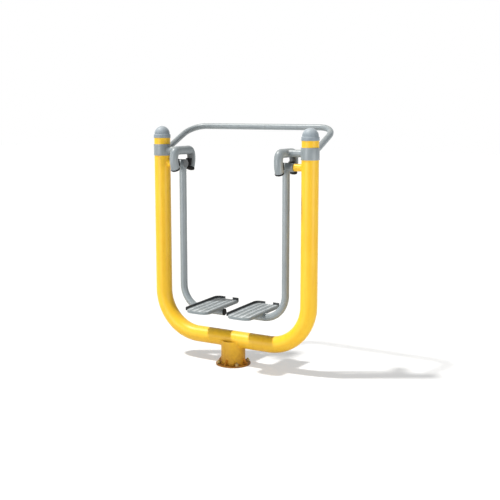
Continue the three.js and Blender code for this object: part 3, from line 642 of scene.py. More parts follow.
# seams of the pedestal: over the tube on both sides, round the base plate
seamTurn = np.linspace(-notchEnd, notchEnd, weld["seamSteps"])
seamY = notchRadius * np.sin(seamTurn)
seamX = np.sqrt(pedestal["radius"] ** 2 - seamY ** 2) + weld["out"]
seamZ = bottomTube["height"] - notchRadius * np.cos(seamTurn) - weld["out"]
footRing = arc((0, 0), pedestal["radius"] + weld["footOut"], 0, math.tau, 2 * weld["seamSteps"] + 1)[:-1]
footSeam = joined(*footRing.T, flange["thickness"] + weld["footUp"])
pedestalBeads = [weldBead(joined(side * seamX, seamY, seamZ), weld["saddle"]) for side in (-1, 1)]
pedestalBeads.append(weldBead(footSeam, weld["foot"], True))
addWelds("pedestal_welds", pedestalBeads, "frame", yellowPaint)


def cutHoles(piece, cutter):
    # bakes a difference with the cutter into the piece's own mesh
    hole = piece.modifiers.new("holes", "BOOLEAN")
    hole.operation, hole.object, hole.solver = "DIFFERENCE", cutter, "EXACT"
    view = bpy.context.evaluated_depsgraph_get()
    cutMesh = bpy.data.meshes.new_from_object(piece.evaluated_get(view))
    piece.modifiers.remove(hole)
    piece.data = cutMesh
    cutMesh.shade_smooth()
    cutMesh.set_sharp_from_angle(angle=math.radians(meshing["sharp"]))
    bpy.data.objects.remove(cutter)


def anchorPlace(index):
    # the anchors stand halfway between the webs
    turn = math.tau * (index + 0.5) / flange["holes"]
    return flange["holeCircle"] * math.cos(turn), flange["holeCircle"] * math.sin(turn), 0


disc = filleted(barProfile(flange["radius"], 0, flange["thickness"]), flange["edge"])
plate = addPiece("base_plate", [turned(disc, sides=120)], "frame", basePaint, ["base_flange"])
drill = barProfile(flange["hole"], flange["drillLow"], flange["drillHigh"])
drills = [turned(drill, sides=32, centre=anchorPlace(index)) for index in range(flange["holes"])]
cutHoles(plate, addPiece("drill", drills, "frame", basePaint))

gusset = {"height": 0.038, "width": 0.032, "toe": 0.008, "thick": 0.008, "start": 0.0853, "foot": 0.0103,
          "edge": 0.0012, "weldOut": 0.0005, "weldUp": 0.0008, "weldSteps": 12}
gussetOutline = [(0, 0), (gusset["width"], 0), (gusset["width"], gusset["toe"]),
                 (gusset["toe"], gusset["height"]), (0, gusset["height"])]


def gussetPlace(index):
    # turns (outwards, up, across) of one web into a place, a quarter turn on for each web
    turn = math.tau * index / 4
    cosTurn, sinTurn = round(math.cos(turn)), round(math.sin(turn))

    def place(outwards, rise, across):
        away = outwards + gusset["start"]
        return cosTurn * away - sinTurn * across, sinTurn * away + cosTurn * across, rise + gusset["foot"]
    return place


for index, name in enumerate(("right", "back", "left", "front")):
    place = gussetPlace(index)
    faces = (-gusset["thick"] / 2, gusset["thick"] / 2)
    web = prism(gussetOutline, *faces, place)
    addPiece("gusset_" + name, web, "frame", basePaint, ["base_gusset_" + name],
             bevel=gusset["edge"])
    beads = []
    for face in faces:
        rise = np.linspace(0, gusset["height"], gusset["weldSteps"])
        outwards = np.linspace(0, gusset["width"], gusset["weldSteps"])
        beads.append(weldBead(joined(*place(gusset["weldOut"], rise, face)), weld["gusset"]))
        beads.append(weldBead(joined(*place(outwards, gusset["weldUp"], face)), weld["gusset"]))
    addWelds("gusset_weld_" + name, beads, "frame", basePaint)
print("base made")


# Anchors: stud with a rolled thread, washer and chamfered nut

anchor = {"stud": 0.008, "pitch": 0.002, "depth": 0.0011, "threadSunk": 0.0011, "gridSunk": 0.001,
          "chamferHigh": 0.0012, "chamferIn": 0.0014, "washer": 0.015, "washerThick": 0.003,
          "washerEdge": 0.0006, "flats": 0.024, "nutHigh": 0.013, "tip": 0.008, "rows": 46, "sharp": 28}
nutFace = {"share": 0.97, "slope": 0.6}


def hexRadius(flats):
    # radius at a turn = half the width across flats / cos(turn from the middle of the flat),
    # held under a cone at each end so that the corners are chamfered
    def radiusAt(radius, turn, height):
        fromFlat = (turn + np.pi / 6) % (np.pi / 3) - np.pi / 6
        return np.minimum(flats / 2 / np.cos(fromFlat), radius)
    return radiusAt


def threadRadius(pitch, depth, start):
    # radius - depth * (distance from the crest of a wave that climbs one pitch a turn)
    def radiusAt(radius, turn, height):
        phase = (height / pitch - turn / (2 * np.pi)) % 1
        cutIn = depth * np.abs(2 * phase - 1)
        return radius - np.where(height > start, cutIn, 0) * (radius > depth * 2)
    return radiusAt


def hexNut(flats, low, high, centre, sides):
    corner = flats / math.sqrt(3)
    face = flats / 2 * nutFace["share"]
    slope = (corner - face) * nutFace["slope"]
    profile = [(0, low), (face, low), (corner, low + slope), (corner, (low + high) / 2),
               (corner, high - slope), (face, high), (0, high)]
    return turned(profile, sides=sides, centre=centre, radiusAt=hexRadius(flats))


def anchorStud(nutHigh, centre):
    # a round bar from the ground, threaded above the nut, with a chamfered end
    top = nutHigh + anchor["tip"]
    threaded = np.linspace(nutHigh - anchor["gridSunk"], top - anchor["chamferHigh"], anchor["rows"])
    heights = np.concatenate([[0, 0], threaded, [top, top]])
    radii = np.full(len(heights), anchor["stud"])
    radii[[0, -1]] = 0
    radii[-2] = anchor["stud"] - anchor["chamferIn"]
    thread = threadRadius(anchor["pitch"], anchor["depth"], nutHigh - anchor["threadSunk"])
    return turned(joined(radii, heights), sides=28, centre=centre, radiusAt=thread)


for index in range(flange["holes"]):
    centre = anchorPlace(index)
    washerLow = flange["thickness"] + gap
    washerHigh = washerLow + anchor["washerThick"]
    nutHigh = washerHigh + anchor["nutHigh"]
    washer = barProfile(anchor["washer"], washerLow, washerHigh)
    washer = filleted(washer, anchor["washerEdge"], steps=3)
    shapes = [anchorStud(nutHigh, centre), turned(washer, sides=40, centre=centre),
              hexNut(anchor["flats"], washerHigh, nutHigh, centre, sides=72)]
    addPiece(f"anchor_{index + 1}", shapes, "frame", zincPlate, [f"anchor_bolt_{index + 1}"],
             sharp=anchor["sharp"])
print("anchors made")


# What stands on each post

band = {"low": 1.446, "high": 1.526, "radius": 0.061, "bore": 0.0573, "edge": 0.0014, "boreEdge": 0.0004}
bandMiddle = (band["low"] + band["high"]) / 2
cap = {"collar": 0.0595, "collarHigh": 0.026, "dome": 0.0545, "domeHigh": 0.057, "wall": 0.004,
       "shoulder": 0.003, "ledge": 0.0014, "draft": 0.0004, "groove": 0.0016, "grooveHalf": 0.001,
       "spigot": 0.024, "spigotGap": 0.0006}
hoop = {"x": 0.416, "diameter": 0.06, "wall": 0.0035, "spacing": 0.21, "corner": 0.034,
        "cornerTurn": 78, "limb": 0.157, "limbTurn": 32, "endRun": 0.016}
arm = {"diameter": 0.05, "wall": 0.003, "start": 0.04, "run": 0.06}
rail = {"diameter": 0.042, "wall": 0.003, "reach": 0.38, "bend": 0.125, "slope": 26, "rise": 0.006,
        "lead": 0.12, "sides": 40}
plug = {"flange": 0.003, "length": 0.014, "spigotGap": 0.0004, "leadIn": 0.001, "leadShare": 0.75,
        "flangeEdge": 0.0005, "guardCrown": 0.012, "guardSkirt": 0.009, "skirtThick": 0.0016,
        "skirtLow": 0.15, "skirtEdge": 0.0002, "legCrown": 0.002}
buffer = {"width": 0.042, "thick": 0.014, "length": 0.062, "footGap": 0.0105, "round": 0.003,
          "heelRound": 0.0006, "endRun": 0.006, "steps": 14}
pivot = {"height": 1.394, "stub": 0.05, "stubRun": 0.05, "stubGap": 0.0015, "stubEdge": 0.0009,
         "shaft": 0.03, "shaftGap": 0.0006, "hubInner": 0.391, "hubOuter": 0.477, "hub": 0.06}


def postCap(centre):
    # collar, shoulder and dome outside, hollow inside, with a spigot into the tube
    outside = np.array((cap["dome"], cap["domeHigh"]))
    dome, hollow = [arc((0, cap["collarHigh"]), size, 0, quarterTurn, count=22)
                    for size in (outside, outside - cap["wall"])]
    spigot = post["diameter"] / 2 - post["wall"] - cap["spigotGap"]
    inner = spigot - cap["wall"]
    grooveRadius = cap["dome"] - cap["groove"]
    top, half = cap["collarHigh"], cap["grooveHalf"]
    # corners and their roundings, from the hollow's foot round to the dome
    skirt = filleted([
        hollow[0], (inner, 0), (inner, -cap["spigot"]), (spigot, -cap["spigot"]), (spigot, gap),
        (cap["collar"], gap), (cap["collar"] - cap["draft"], top - cap["shoulder"]),
        (cap["dome"] + cap["ledge"], top), (grooveRadius, top - half), (grooveRadius, top + half), dome[2],
    ], [0, 0.001, 0.0008, 0.001, 0.0005, 0.0012, 0.0026, 0.0008, 0.0004, 0.0004, 0])
    profile = np.concatenate([hollow[::-1], skirt[1:-1], dome[2:]])
    profile[0, 0] = profile[-1, 0] = 0
    return turned(profile, sides=72, centre=centre)


def endPlug(point, outward, outside, wall, crown, skirt=0, inside=None):
    # a tube plug: a spigot inside the tube, and over its end a flange whose crown is a quarter
    # of an ellipse: radius * cos a, crown * sin a; a skirt comes back round the outside of the
    # tube, long on the inside of the bend and short outside
    flangeRadius = outside / 2 + (plug["skirtThick"] if skirt else 0)
    spigot = outside / 2 - wall - plug["spigotGap"]
    brim = gap + plug["flange"]
    crowned = arc((0, brim), (flangeRadius, crown), 0, quarterTurn, count=14)
    crowned[-1, 0] = 0
    collar = [(flangeRadius, gap)]
    if skirt:
        bore = outside / 2 + gap
        collar = [(bore, gap), (bore, -skirt), (flangeRadius, -skirt)]
    foot = filleted([
        (0, -plug["length"]), (spigot - plug["leadIn"], -plug["length"]),
        (spigot, -plug["length"] * plug["leadShare"]), (spigot, gap), *collar, (flangeRadius, brim),
    ], [0, 0.0004, 0.0004, *[plug["skirtEdge"]] * len(collar), plug["flangeEdge"], 0])
    profile = np.concatenate([foot[:-1], crowned])
    points, faces = turned(profile, sides=56, centre=point, axis=outward)
    if skirt:
        # skirt length at a turn a from the inside = skirt * (low + (1 - low) * (1 + cos a) / 2)
        along = (points - point) @ outward
        spoke = points - point - along[:, None] * outward
        reach = np.linalg.norm(spoke, axis=1)
        towards = (1 + spoke @ inside / np.maximum(reach, 1e-6)) / 2
        share = plug["skirtLow"] + (1 - plug["skirtLow"]) * towards
        onSkirt = (reach > outside / 2) & (along < 0)
        points = points + np.where(onSkirt, along * (share - 1), 0)[:, None] * outward
    return points, faces


def guardLine(sign):
    # up the front limb, over the top and down the rear limb; the limbs stand widest a little
    # below the corners, where they are upright, and lean in towards their feet
    splay = math.radians(90 - hoop["cornerTurn"])
    lean = math.radians(hoop["limbTurn"]) - splay
    inset = hoop["limb"] * (1 - math.cos(lean)) + hoop["endRun"] * math.sin(lean)
    cornerFall = hoop["corner"] * (1 - math.sin(splay))
    limbFall = hoop["limb"] * (math.sin(lean) + math.sin(splay))
    foot = bandMiddle - cornerFall - limbFall - hoop["endRun"] * math.cos(lean)
    start = (sign * hoop["x"], inset - hoop["spacing"] / 2, foot)
    heading = (0, -math.sin(lean), math.cos(lean))
    cornerInset = hoop["limb"] * (1 - math.cos(splay)) + hoop["corner"] * math.cos(splay)
    return bentLine(start, heading, -right, [
        ("run", hoop["endRun"]), ("bend", hoop["limb"], hoop["limbTurn"]),
        ("bend", hoop["corner"], hoop["cornerTurn"]), ("run", hoop["spacing"] - 2 * cornerInset),
        ("bend", hoop["corner"], hoop["cornerTurn"]), ("bend", hoop["limb"], hoop["limbTurn"]),
        ("run", hoop["endRun"]),
    ])


def bufferPad(guard, way):
    # a pad along the inner face of a limb, carried along the limb's centreline; its section lies
    # between two arcs about that line, and the arcs' ends are rounded
    half, bore = buffer["width"] / 2, hoop["diameter"] / 2 + gap
    face = hoop["diameter"] / 2 + buffer["thick"]
    boreTurn, faceTurn = math.asin(half / bore), math.asin(half / face)
    inner = arc((0, 0), bore, quarterTurn - boreTurn, quarterTurn + boreTurn, count=13)
    outer = arc((0, 0), face, quarterTurn + faceTurn, quarterTurn - faceTurn, count=9)
    rounds = np.zeros(len(inner) + len(outer))
    rounds[[0, len(inner) - 1]] = buffer["heelRound"]
    rounds[[len(inner), -1]] = buffer["round"]
    outline = filleted(np.concatenate([inner, outer]), rounds, steps=5, closed=True)
    points, headings = guard
    first, last = buffer["footGap"], buffer["footGap"] + buffer["length"]
    plain = np.linspace(first + buffer["endRun"], last - buffer["endRun"], buffer["steps"])
    wanted = closeAtEnds(first, last, buffer["round"], 6, plain)
    along = travelled(points)
    centre = readOff(wanted, along, points)
    inward = np.cross(unit(readOff(wanted, along, headings)), right)
    slim = buffer["round"] * (1 - roundedEnds(wanted - first, buffer["length"], buffer["round"]))
    middle = (bore + face) / 2
    rows = cushion(outline, middle, (half, face - middle), centre, right, inward, slim)
    rows[..., 1] *= -way
    return gridMesh(rows, False, True)


for side, sign in (("left", -1), ("right", 1)):
    postX = sign * post["x"]
    outwards = sign * right
    addPiece("cap_" + side, [postCap((postX, 0, post["top"]))], "frame", capPlastic,
             ["post_cap_" + side])
    bandProfile = ringProfile(band["bore"], band["radius"], band["low"], band["high"], band["edge"],
                              band["boreEdge"])
    addPiece("band_" + side, [turned(bandProfile, sides=88, centre=(postX, 0, 0))], "frame", greyPaint,
             ["post_sleeve_" + side])

    guard = guardLine(sign)
    guardPipe = pipe(guard, right, hoop["diameter"], hoop["wall"])
    addPiece("guard_" + side, [guardPipe], "frame", hoopPaint, ["guard_hoop_" + side])
    bandBar = ((postX, 0, 0), up, band["radius"])
    hoopBar = ((sign * hoop["x"], 0, bandMiddle), back, hoop["diameter"] / 2)
    armStart = (sign * (hoop["x"] + arm["start"]), 0, bandMiddle)
    armLine = bentLine(armStart, outwards, up, [("run", arm["run"])])
    armPipe = pipe(armLine, back, arm["diameter"], arm["wall"], first=hoopBar, last=bandBar)
    addPiece("arm_" + side, [armPipe], "frame", greyPaint, ["guard_arm_" + side])
    armBeads = [tubeBead(armLine, back, arm["diameter"], station, bar)
                for station, bar in ((0, hoopBar), (-1, bandBar))]
    addWelds("arm_welds_" + side, armBeads, "frame", greyPaint)

    for place, station, way in (("front", 0, -1), ("rear", -1, 1)):
        heading = guard[1][station]
        shape = endPlug(guard[0][station], way * heading, hoop["diameter"], hoop["wall"],
                        plug["guardCrown"], plug["guardSkirt"], np.cross(heading, right))
        addPiece(f"hoop_plug_{side}_{place}", [shape], "frame", blackRubber,
                 [f"guard_plug_{side}_{place}"])
    for place, way in (("front", -1), ("rear", 1)):
        addPiece(f"buffer_{side}_{place}", [bufferPad(guard, way)], "frame", blackRubber,
                 [f"stop_buffer_{side}_{place}"])

    postBar = ((postX, 0, 0), up, post["diameter"] / 2 + gap)
    stubStart = (sign * (pivot["hubOuter"] + pivot["stubGap"]), 0, pivot["height"])
    stubLine = bentLine(stubStart, outwards, up, [("run", pivot["stubRun"])])
    stubWall = (pivot["stub"] - pivot["shaft"]) / 2 - pivot["shaftGap"]
    addPiece("stub_" + side, [pipe(stubLine, back, pivot["stub"], stubWall, last=postBar)], "frame",
             yellowPaint, ["pivot_stub_" + side], bevel=pivot["stubEdge"])
    stubBead = tubeBead(stubLine, back, pivot["stub"], -1, postBar)
    addWelds("stub_weld_" + side, [stubBead], "frame", yellowPaint)

slope = math.radians(rail["slope"])
railHeading = np.array((0, math.cos(slope), math.sin(slope)))
railAxis = np.array((0, -math.sin(slope), math.cos(slope)))
railRoot = bandMiddle + rail["rise"] - band["radius"] * math.tan(slope)
armRun = rail["reach"] / math.cos(slope) - rail["bend"]
railBars = [((sign * post["x"], 0, 0), up, band["radius"]) for sign in (1, -1)]


def outOfPost(line):
    # moves the two ends of a line out of the posts, so that its end rings start outside the bands
    points, headings = line
    points = points.copy()
    points[0] += headings[0] * rail["lead"]
    points[-1] -= headings[-1] * rail["lead"]
    return points, headings


railLine = outOfPost(bentLine((post["x"], 0, railRoot), railHeading, railAxis, [
    ("run", armRun), ("bend", rail["bend"], 90),
    ("run", 2 * (post["x"] - rail["bend"])),
    ("bend", rail["bend"], 90), ("run", armRun),
]))
railPipe = pipe(railLine, railAxis, rail["diameter"], rail["wall"], rail["sides"], *railBars)
addPiece("rail", [railPipe], "frame", greyPaint, ["handrail"])
railBeads = [tubeBead(railLine, railAxis, rail["diameter"], station, bar, weld["rail"])
             for station, bar in zip((0, -1), railBars)]
addWelds("rail_welds", railBeads, "frame", greyPaint)
print("posts and rail made")


# Legs, hubs and what is in them

leg = {"diameter": 0.05, "wall": 0.003, "bend": 0.168, "bottom": 0.363, "end": 0.074, "start": 0.06,
       "seamSteps": 100}
hub = {"edge": 0.0015, "boreEdge": 0.0005, "wall": 0.0033, "capFlange": 0.0025, "capSpigot": 0.004,
       "lidFace": 0.016, "lidStep": 0.018, "lidRaise": 0.0007, "lidSpigot": 0.0259}


def hubLid():
    # a lid with a raised round face, from its middle outside round to its middle inside; a
    # rounding for each corner
    outer = pivot["hubInner"] - gap - hub["capFlange"]
    radius, seat, inner = pivot["hub"] / 2, outer + hub["capFlange"], pivot["hubInner"] + hub["capSpigot"]
    step = outer + hub["lidRaise"]
    return filleted([
        (0, outer), (hub["lidFace"], outer), (hub["lidStep"], step), (radius, step), (radius, seat),
        (hub["lidSpigot"], seat), (hub["lidSpigot"], inner), (0, inner),
    ], [0, 0.0006, 0.0006, 0.0007, 0.0002, 0.0002, 0.0005, 0], steps=3)


for side, sign in (("left", -1), ("right", 1)):
    body = "leg_" + side
    centre, axis = (0, 0, pivot["height"]), sign * right
    legLine = bentLine((sign * hoop["x"], 0, pivot["height"] - leg["start"]), -up, sign * back, [
        ("run", pivot["height"] - leg["start"] - leg["bottom"] - leg["bend"]),
        ("bend", leg["bend"], 90),
        ("run", hoop["x"] - leg["bend"] - leg["end"]),
    ])
    hubBar = (centre, right, pivot["hub"] / 2)
    legPipe = pipe(legLine, back, leg["diameter"], leg["wall"], first=hubBar)
    addPiece("leg_" + side + "_tube", [legPipe], body, greyPaint, ["leg_tube_" + side])
    legBead = tubeBead(legLine, back, leg["diameter"], 0, hubBar, steps=leg["seamSteps"])
    addWelds("leg_weld_" + side, [legBead], body, greyPaint)
    plugShape = endPlug(legLine[0][-1], legLine[1][-1], leg["diameter"], leg["wall"], plug["legCrown"])
    addPiece("leg_end_" + side, [plugShape], body, blackRubber, ["leg_plug_" + side])

    hubProfile = ringProfile(pivot["hub"] / 2 - hub["wall"], pivot["hub"] / 2, pivot["hubInner"],
                             pivot["hubOuter"], hub["edge"], hub["boreEdge"])
    hubShape, lidShape = [turned(profile, sides=64, centre=centre, axis=axis)
                          for profile in (hubProfile, hubLid())]
    addPiece("hub_" + side, [hubShape], body, greyPaint, ["hub_sleeve_" + side])
    addPiece("hub_lid_" + side, [lidShape], body, lidPlastic, ["hub_cap_" + side])
print("legs made")


# Pedals: ribbed tray with a rounded skirt, dark edge, saddle and screws

pedal = {"offset": 0.168, "width": 0.188, "back": 0.195, "front": 0.22, "frontCorner": 0.06,
         "leftRadius": 0.036, "rightRadius": 0.012, "bowPull": 0.5, "top": 0.406, "plate": 0.003,
         "skirt": 0.02, "archGap": 0.004, "archReach": 0.036, "archSteps": 73, "archFrom": 0.05,
         "sideStops": (-0.08, 0.08, 0.12), "edge": 0.0026, "edgeStart": 0.25, "lip": 0.0006,
         "flatFrom": 0.009, "middle": -0.012, "underRound": 0.002, "tilt": 1.9}
tread = {"ribs": 8, "width": 0.006, "height": 0.0024, "margin": 0.016, "endShare": 0.9, "sidePower": 0.6,
         "backPower": 0.7, "sunk": 0.001}
kerb = {"thick": 0.004, "rise": 0.015, "overlap": 0.011, "setback": 0.024, "gapStart": 0.385,
        "gapEnd": 0.715, "round": 0.0014, "stops": (-0.1, 0), "cornerRun": 0.01, "heelRun": 0.012}
treadPitch = (pedal["width"] - 2 * tread["margin"]) / (tread["ribs"] - 1)
treadPaint = treadCoat("grey_tread_coat", greyLook | {
    "colour": colour(131, 140, 143), "dirt": 0.4, "dirtColour": colour(84, 89, 91), "rimDirt": 0.5,
    "streakColour": colour(210, 216, 219), "rub": 0.3, "rubColour": colour(214, 220, 223), "peel": 0.12,
}, pedal["offset"], treadPitch, pedal["width"] / 2)
saddle = {"length": 0.12, "width": 0.1, "plate": 0.005, "web": 0.036, "edge": 0.0008, "seatSteps": 23}
screw = {"spread": 0.036, "shank": 0.005, "head": 0.01, "headHigh": 0.002, "headDome": 0.0026,
         "socket": 0.0031, "socketTop": 0.0033, "socketDeep": 0.0012, "flats": 0.015588, "nutHigh": 0.007,
         "tip": 0.002}


def tilted(shape):
    # turns a shape about the leg's axis, heel up: y' = y cos t - z sin t, z' = y sin t + z cos t
    points, faces = shape
    t = math.radians(pedal["tilt"])
    x, y, z = points[:, 0], points[:, 1], points[:, 2] - leg["bottom"]
    turnedY = y * math.cos(t) - z * math.sin(t)
    turnedZ = y * math.sin(t) + z * math.cos(t)
    return joined(x, turnedY, turnedZ + leg["bottom"]), faces


def bezier(a, b, c, d, count=25):
    # (1 - t)^3 a + 3 (1 - t)^2 t b + 3 (1 - t) t^2 c + t^3 d
    t = np.linspace(0, 1, count)[:, None]
    a, b, c, d = (np.array(k, float) for k in (a, b, c, d))
    return (1 - t) ** 3 * a + 3 * (1 - t) ** 2 * t * b + 3 * (1 - t) * t ** 2 * c + t ** 3 * d


def pedalOutline(inset):
    # the tray seen from above, drawn in by an inset: a tight and a wide rear corner, straight
    # sides with close steps where the leg passes, and a bowed front of two cubic curves
    half, rear, front = pedal["width"] / 2 - inset, pedal["back"] - inset, -pedal["front"] + inset
    shoulder = -pedal["front"] + pedal["frontCorner"]
    rightR, leftR = pedal["rightRadius"] - inset, pedal["leftRadius"] - inset
    before, *after = pedal["sideStops"]
    archStops = np.linspace(-pedal["archReach"], pedal["archReach"], pedal["archSteps"])
    stops = np.array([shoulder, before, *archStops, *after])
    rightCorner = arc((half - rightR, rear - rightR), rightR, 0, quarterTurn, count=13)
    leftCorner = arc((-half + leftR, rear - leftR), leftR, quarterTurn, math.pi, count=13)
    pull = half * pedal["bowPull"]
    leftBow = bezier((-half, shoulder), (-half, front + inset), (-pull, front), (0, front))[1:]
    rightBow = bezier((0, front), (pull, front), (half, front + inset), (half, shoulder))[1:-1]
    return np.concatenate([joined(half, stops), rightCorner, leftCorner, joined(-half, stops[::-1]),
                           leftBow, rightBow])


def trayShell(x):
    # rows of the outline from the skirt's lower edge up over the rounded rim to the middle, and
    # back under the plate; the skirt's lower edge lifts over the leg: height = leg axis +
    # sqrt(arch radius squared - y squared)
    low, top, under = pedal["top"] - pedal["skirt"], pedal["top"], pedal["top"] - pedal["plate"]
    archRadius = leg["diameter"] / 2 + pedal["archGap"]
    edge, plate, lip = pedal["edge"], pedal["plate"], pedal["lip"]

    def row(inset, height, lift=False):
        across, y = pedalOutline(inset).T
        z = np.full(len(y), float(height))
        if lift:
            onSide = (np.abs(y) < archRadius) & (np.abs(across) > pedal["archFrom"])
            arch = leg["bottom"] + np.sqrt(np.maximum(archRadius ** 2 - y ** 2, 0))
            z = np.where(onSide, np.maximum(z, arch), z)
        return joined(across + x, y, z)

    outer = [row(lip, low, True), row(0, low + lip, True), row(0, top - edge)]
    for angle in np.linspace(pedal["edgeStart"], quarterTurn, 6):
        outer.append(row(edge * (1 - math.cos(angle)), top - edge * (1 - math.sin(angle))))
    outer.append(row(pedal["flatFrom"], top))
    rounding = pedal["underRound"]
    inner = [row(plate - lip, low, True), row(plate, low + lip, True), row(plate, under - rounding),
             row(plate + rounding, under), row(pedal["flatFrom"], under)]
    middles = [np.full_like(outer[0], (x, pedal["middle"], height)) for height in (top, under)]
    return gridMesh(np.stack(outer + middles + inner[::-1]), True, True)


def treadRib(x, low, high):
    # a low bar with a rounded back: section x = width/2 * cos a, z = height * sin a, each to a
    # power that squares it, and the section shrinks along a quarter round at each end
    end = tread["width"] * tread["endShare"]
    y = closeAtEnds(low, high, end, 5)[:, None]
    grow = roundedEnds(y - low, high - low, end)
    a = np.linspace(0, 2 * np.pi, 14, endpoint=False)
    cosine, sine = np.cos(a), np.sin(a)
    width = np.sign(cosine) * np.abs(cosine) ** tread["sidePower"] * tread["width"] / 2
    height = np.where(sine > 0, np.abs(sine) ** tread["backPower"] * tread["height"], sine * tread["sunk"])
    return gridMesh(joined(x + grow * width, y, pedal["top"] + grow * height), False, True)


def edgeStrip(path, low, high, thick, rounding):
    # an upright strip along a flat path: a rounded outline of thickness and height, which
    # shrinks along a quarter round at each end
    tangent = unit(np.gradient(path, axis=0))
    outline = filleted([(-thick / 2, low), (thick / 2, low), (thick / 2, high), (-thick / 2, high)],
                       rounding, steps=5, closed=True)
    along = travelled(path)
    nearEnd = rounding * 1.5
    plain = along[(along > nearEnd) & (along < along[-1] - nearEnd)]
    wanted = closeAtEnds(0, along[-1], rounding, 5, plain)
    across = unit(readOff(wanted, along, joined(-tangent[:, 1], tangent[:, 0])))
    slim = rounding * (1 - roundedEnds(wanted, along[-1], rounding))
    centre = joined(*readOff(wanted, along, path).T, 0)
    half = (thick / 2, (high - low) / 2)
    rows = cushion(outline, (low + high) / 2, half, centre, joined(*across.T, 0), up, slim)
    return gridMesh(rows, False, True)


def kerbPath(x):
    # along the left side, round the wide corner and along the back to the gap
    radius = pedal["leftRadius"] + gap + kerb["thick"] / 2
    centre = -pedal["width"] / 2 + pedal["leftRadius"], pedal["back"] - pedal["leftRadius"]
    side = joined(centre[0] - radius, (-pedal["front"] + kerb["setback"], *kerb["stops"]))
    gapX = pedal["width"] * (kerb["gapStart"] - 0.5)
    rear = joined((centre[0] + kerb["cornerRun"], gapX), centre[1] + radius)
    corner = arc(centre, radius, math.pi, quarterTurn, count=25)
    return np.concatenate([side, corner, rear]) + np.array((x, 0))


def heelPath(x):
    # from the gap along the back and round the tight corner
    radius = pedal["rightRadius"] + gap + kerb["thick"] / 2
    centre = pedal["width"] / 2 - pedal["rightRadius"], pedal["back"] - pedal["rightRadius"]
    gapX = pedal["width"] * (kerb["gapEnd"] - 0.5)
    rear = joined((gapX, centre[0] - kerb["heelRun"]), centre[1] + radius)
    corner = arc(centre, radius, quarterTurn, 0, count=16)
    return np.concatenate([rear, corner]) + np.array((x, 0))


def saddleBlock(x):
    # a plate under the tray and a web that sits on the leg along an arc
    top, half, web = pedal["top"] - pedal["plate"] - gap, saddle["width"] / 2, saddle["web"] / 2
    low = top - saddle["plate"]
    seatRadius = leg["diameter"] / 2 + gap
    cheek = math.asin(web / seatRadius)
    cheekTurns = quarterTurn + cheek, quarterTurn - cheek
    seat = arc((0, leg["bottom"]), seatRadius, *cheekTurns, saddle["seatSteps"])
    outline = [(half, top), (-half, top), (-half, low), (-web, low), *seat, (web, low), (half, low)]
    ends = x - saddle["length"] / 2, x + saddle["length"] / 2
    return prism(outline, *ends, lambda across, height, along: (along, across, height))


def pedalScrew(x, y):
    # a low round head with a socket above the tray, and a nut under the saddle
    headLow = pedal["top"] + gap
    headHigh = headLow + screw["headHigh"]
    socketLow = headHigh - screw["socketDeep"]
    nutTop = pedal["top"] - pedal["plate"] - 2 * gap - saddle["plate"]
    nutLow = nutTop - screw["nutHigh"]
    end = nutLow - screw["tip"]
    head = filleted([
        (0, socketLow), (screw["socket"], socketLow), (screw["socketTop"], headHigh),
        (screw["head"] - screw["headDome"], headHigh), (screw["head"], headLow), (screw["shank"], headLow),
        (screw["shank"], end), (0, end),
    ], [0, 0, 0.0002, 0.0012, 0.0003, 0.0001, 0.0006, 0], steps=3)
    centre = (x, y, 0)
    return [turned(head, sides=40, centre=centre), hexNut(screw["flats"], nutLow, nutTop, centre, sides=48)]


for side, x in (("left", -pedal["offset"]), ("right", pedal["offset"])):
    body = "leg_" + side
    ribBack = pedal["back"] - tread["margin"] - pedal["leftRadius"] / 2
    ribFront = -pedal["front"] + pedal["frontCorner"]
    firstRib = x - pedal["width"] / 2 + tread["margin"]
    ribs = [treadRib(firstRib + treadPitch * index, ribFront, ribBack) for index in range(tread["ribs"])]
    addPiece("tray_" + side, map(tilted, [trayShell(x), *ribs]), body, treadPaint, ["pedal_tray_" + side])
    low, high = pedal["top"] - kerb["overlap"], pedal["top"] + kerb["rise"]
    strips = ("kerb_", kerbPath(x), "pedal_kerb_"), ("heel_edge_", heelPath(x), "heel_stop_")
    for name, path, stands in strips:
        strip = edgeStrip(path, low, high, kerb["thick"], kerb["round"])
        addPiece(name + side, [tilted(strip)], body, darkPlastic, [stands + side], sharp=50)
    addPiece("saddle_" + side, map(tilted, saddleBlock(x)), body, greyPaint, ["pedal_saddle_" + side],
             bevel=saddle["edge"])
    for place, y in (("front", -screw["spread"]), ("rear", screw["spread"])):
        addPiece(f"screw_{side}_{place}", map(tilted, pedalScrew(x, y)), body, dullZinc,
                 [f"pedal_screw_{side}_{place}"])
print("pedals made")


# CAD nodes that stay as they are

keptNodes = {
    "pivot_shaft": bareSteel, "lock_nut": zincPlate, "bearing_inner": bareSteel,
    "bearing_outer": bareSteel, "bearing_spacer": bareSteel,
}
for name, node in nodes.items():
    for start, finish in keptNodes.items():
        if name.startswith(start):
            node.data.materials.clear()
            node.data.materials.append(finish)


# Floor, light and camera

light = {"sunWay": (0.45, 0.27, -1), "sunStrength": 3.5, "sunAngle": 4, "sunColour": (1.0, 0.985, 0.955),
         "sky": 0.15, "skyColour": (0.95, 0.98, 1.0), "aim": (0, 0, 0.8)}
softLamps = {
    "front_soft_light": {"place": (-1.9, -6.2, 1.2), "size": 3, "power": 176},
    "side_soft_light": {"place": (3.2, -0.7, 1.0), "size": 1.2, "power": 28},
}
pale = {"size": 30, "seen": 1.0, "bounce": 0.66, "lift": 0.41, "roughness": 0.9}
view = {"azimuth": 31.2, "pitch": 8.9, "place": (3.2846, -5.1963, 1.7717), "focal": 1.8, "sensor": 36,
        "far": 100}

floorMesh = bpy.data.meshes.new("floor")
far = pale["size"]
floorMesh.from_pydata([(-far, -far, 0), (far, -far, 0), (far, far, 0), (-far, far, 0)], [], [(0, 1, 2, 3)])
floor = bpy.data.objects.new("floor", floorMesh)
bpy.context.scene.collection.objects.link(floor)


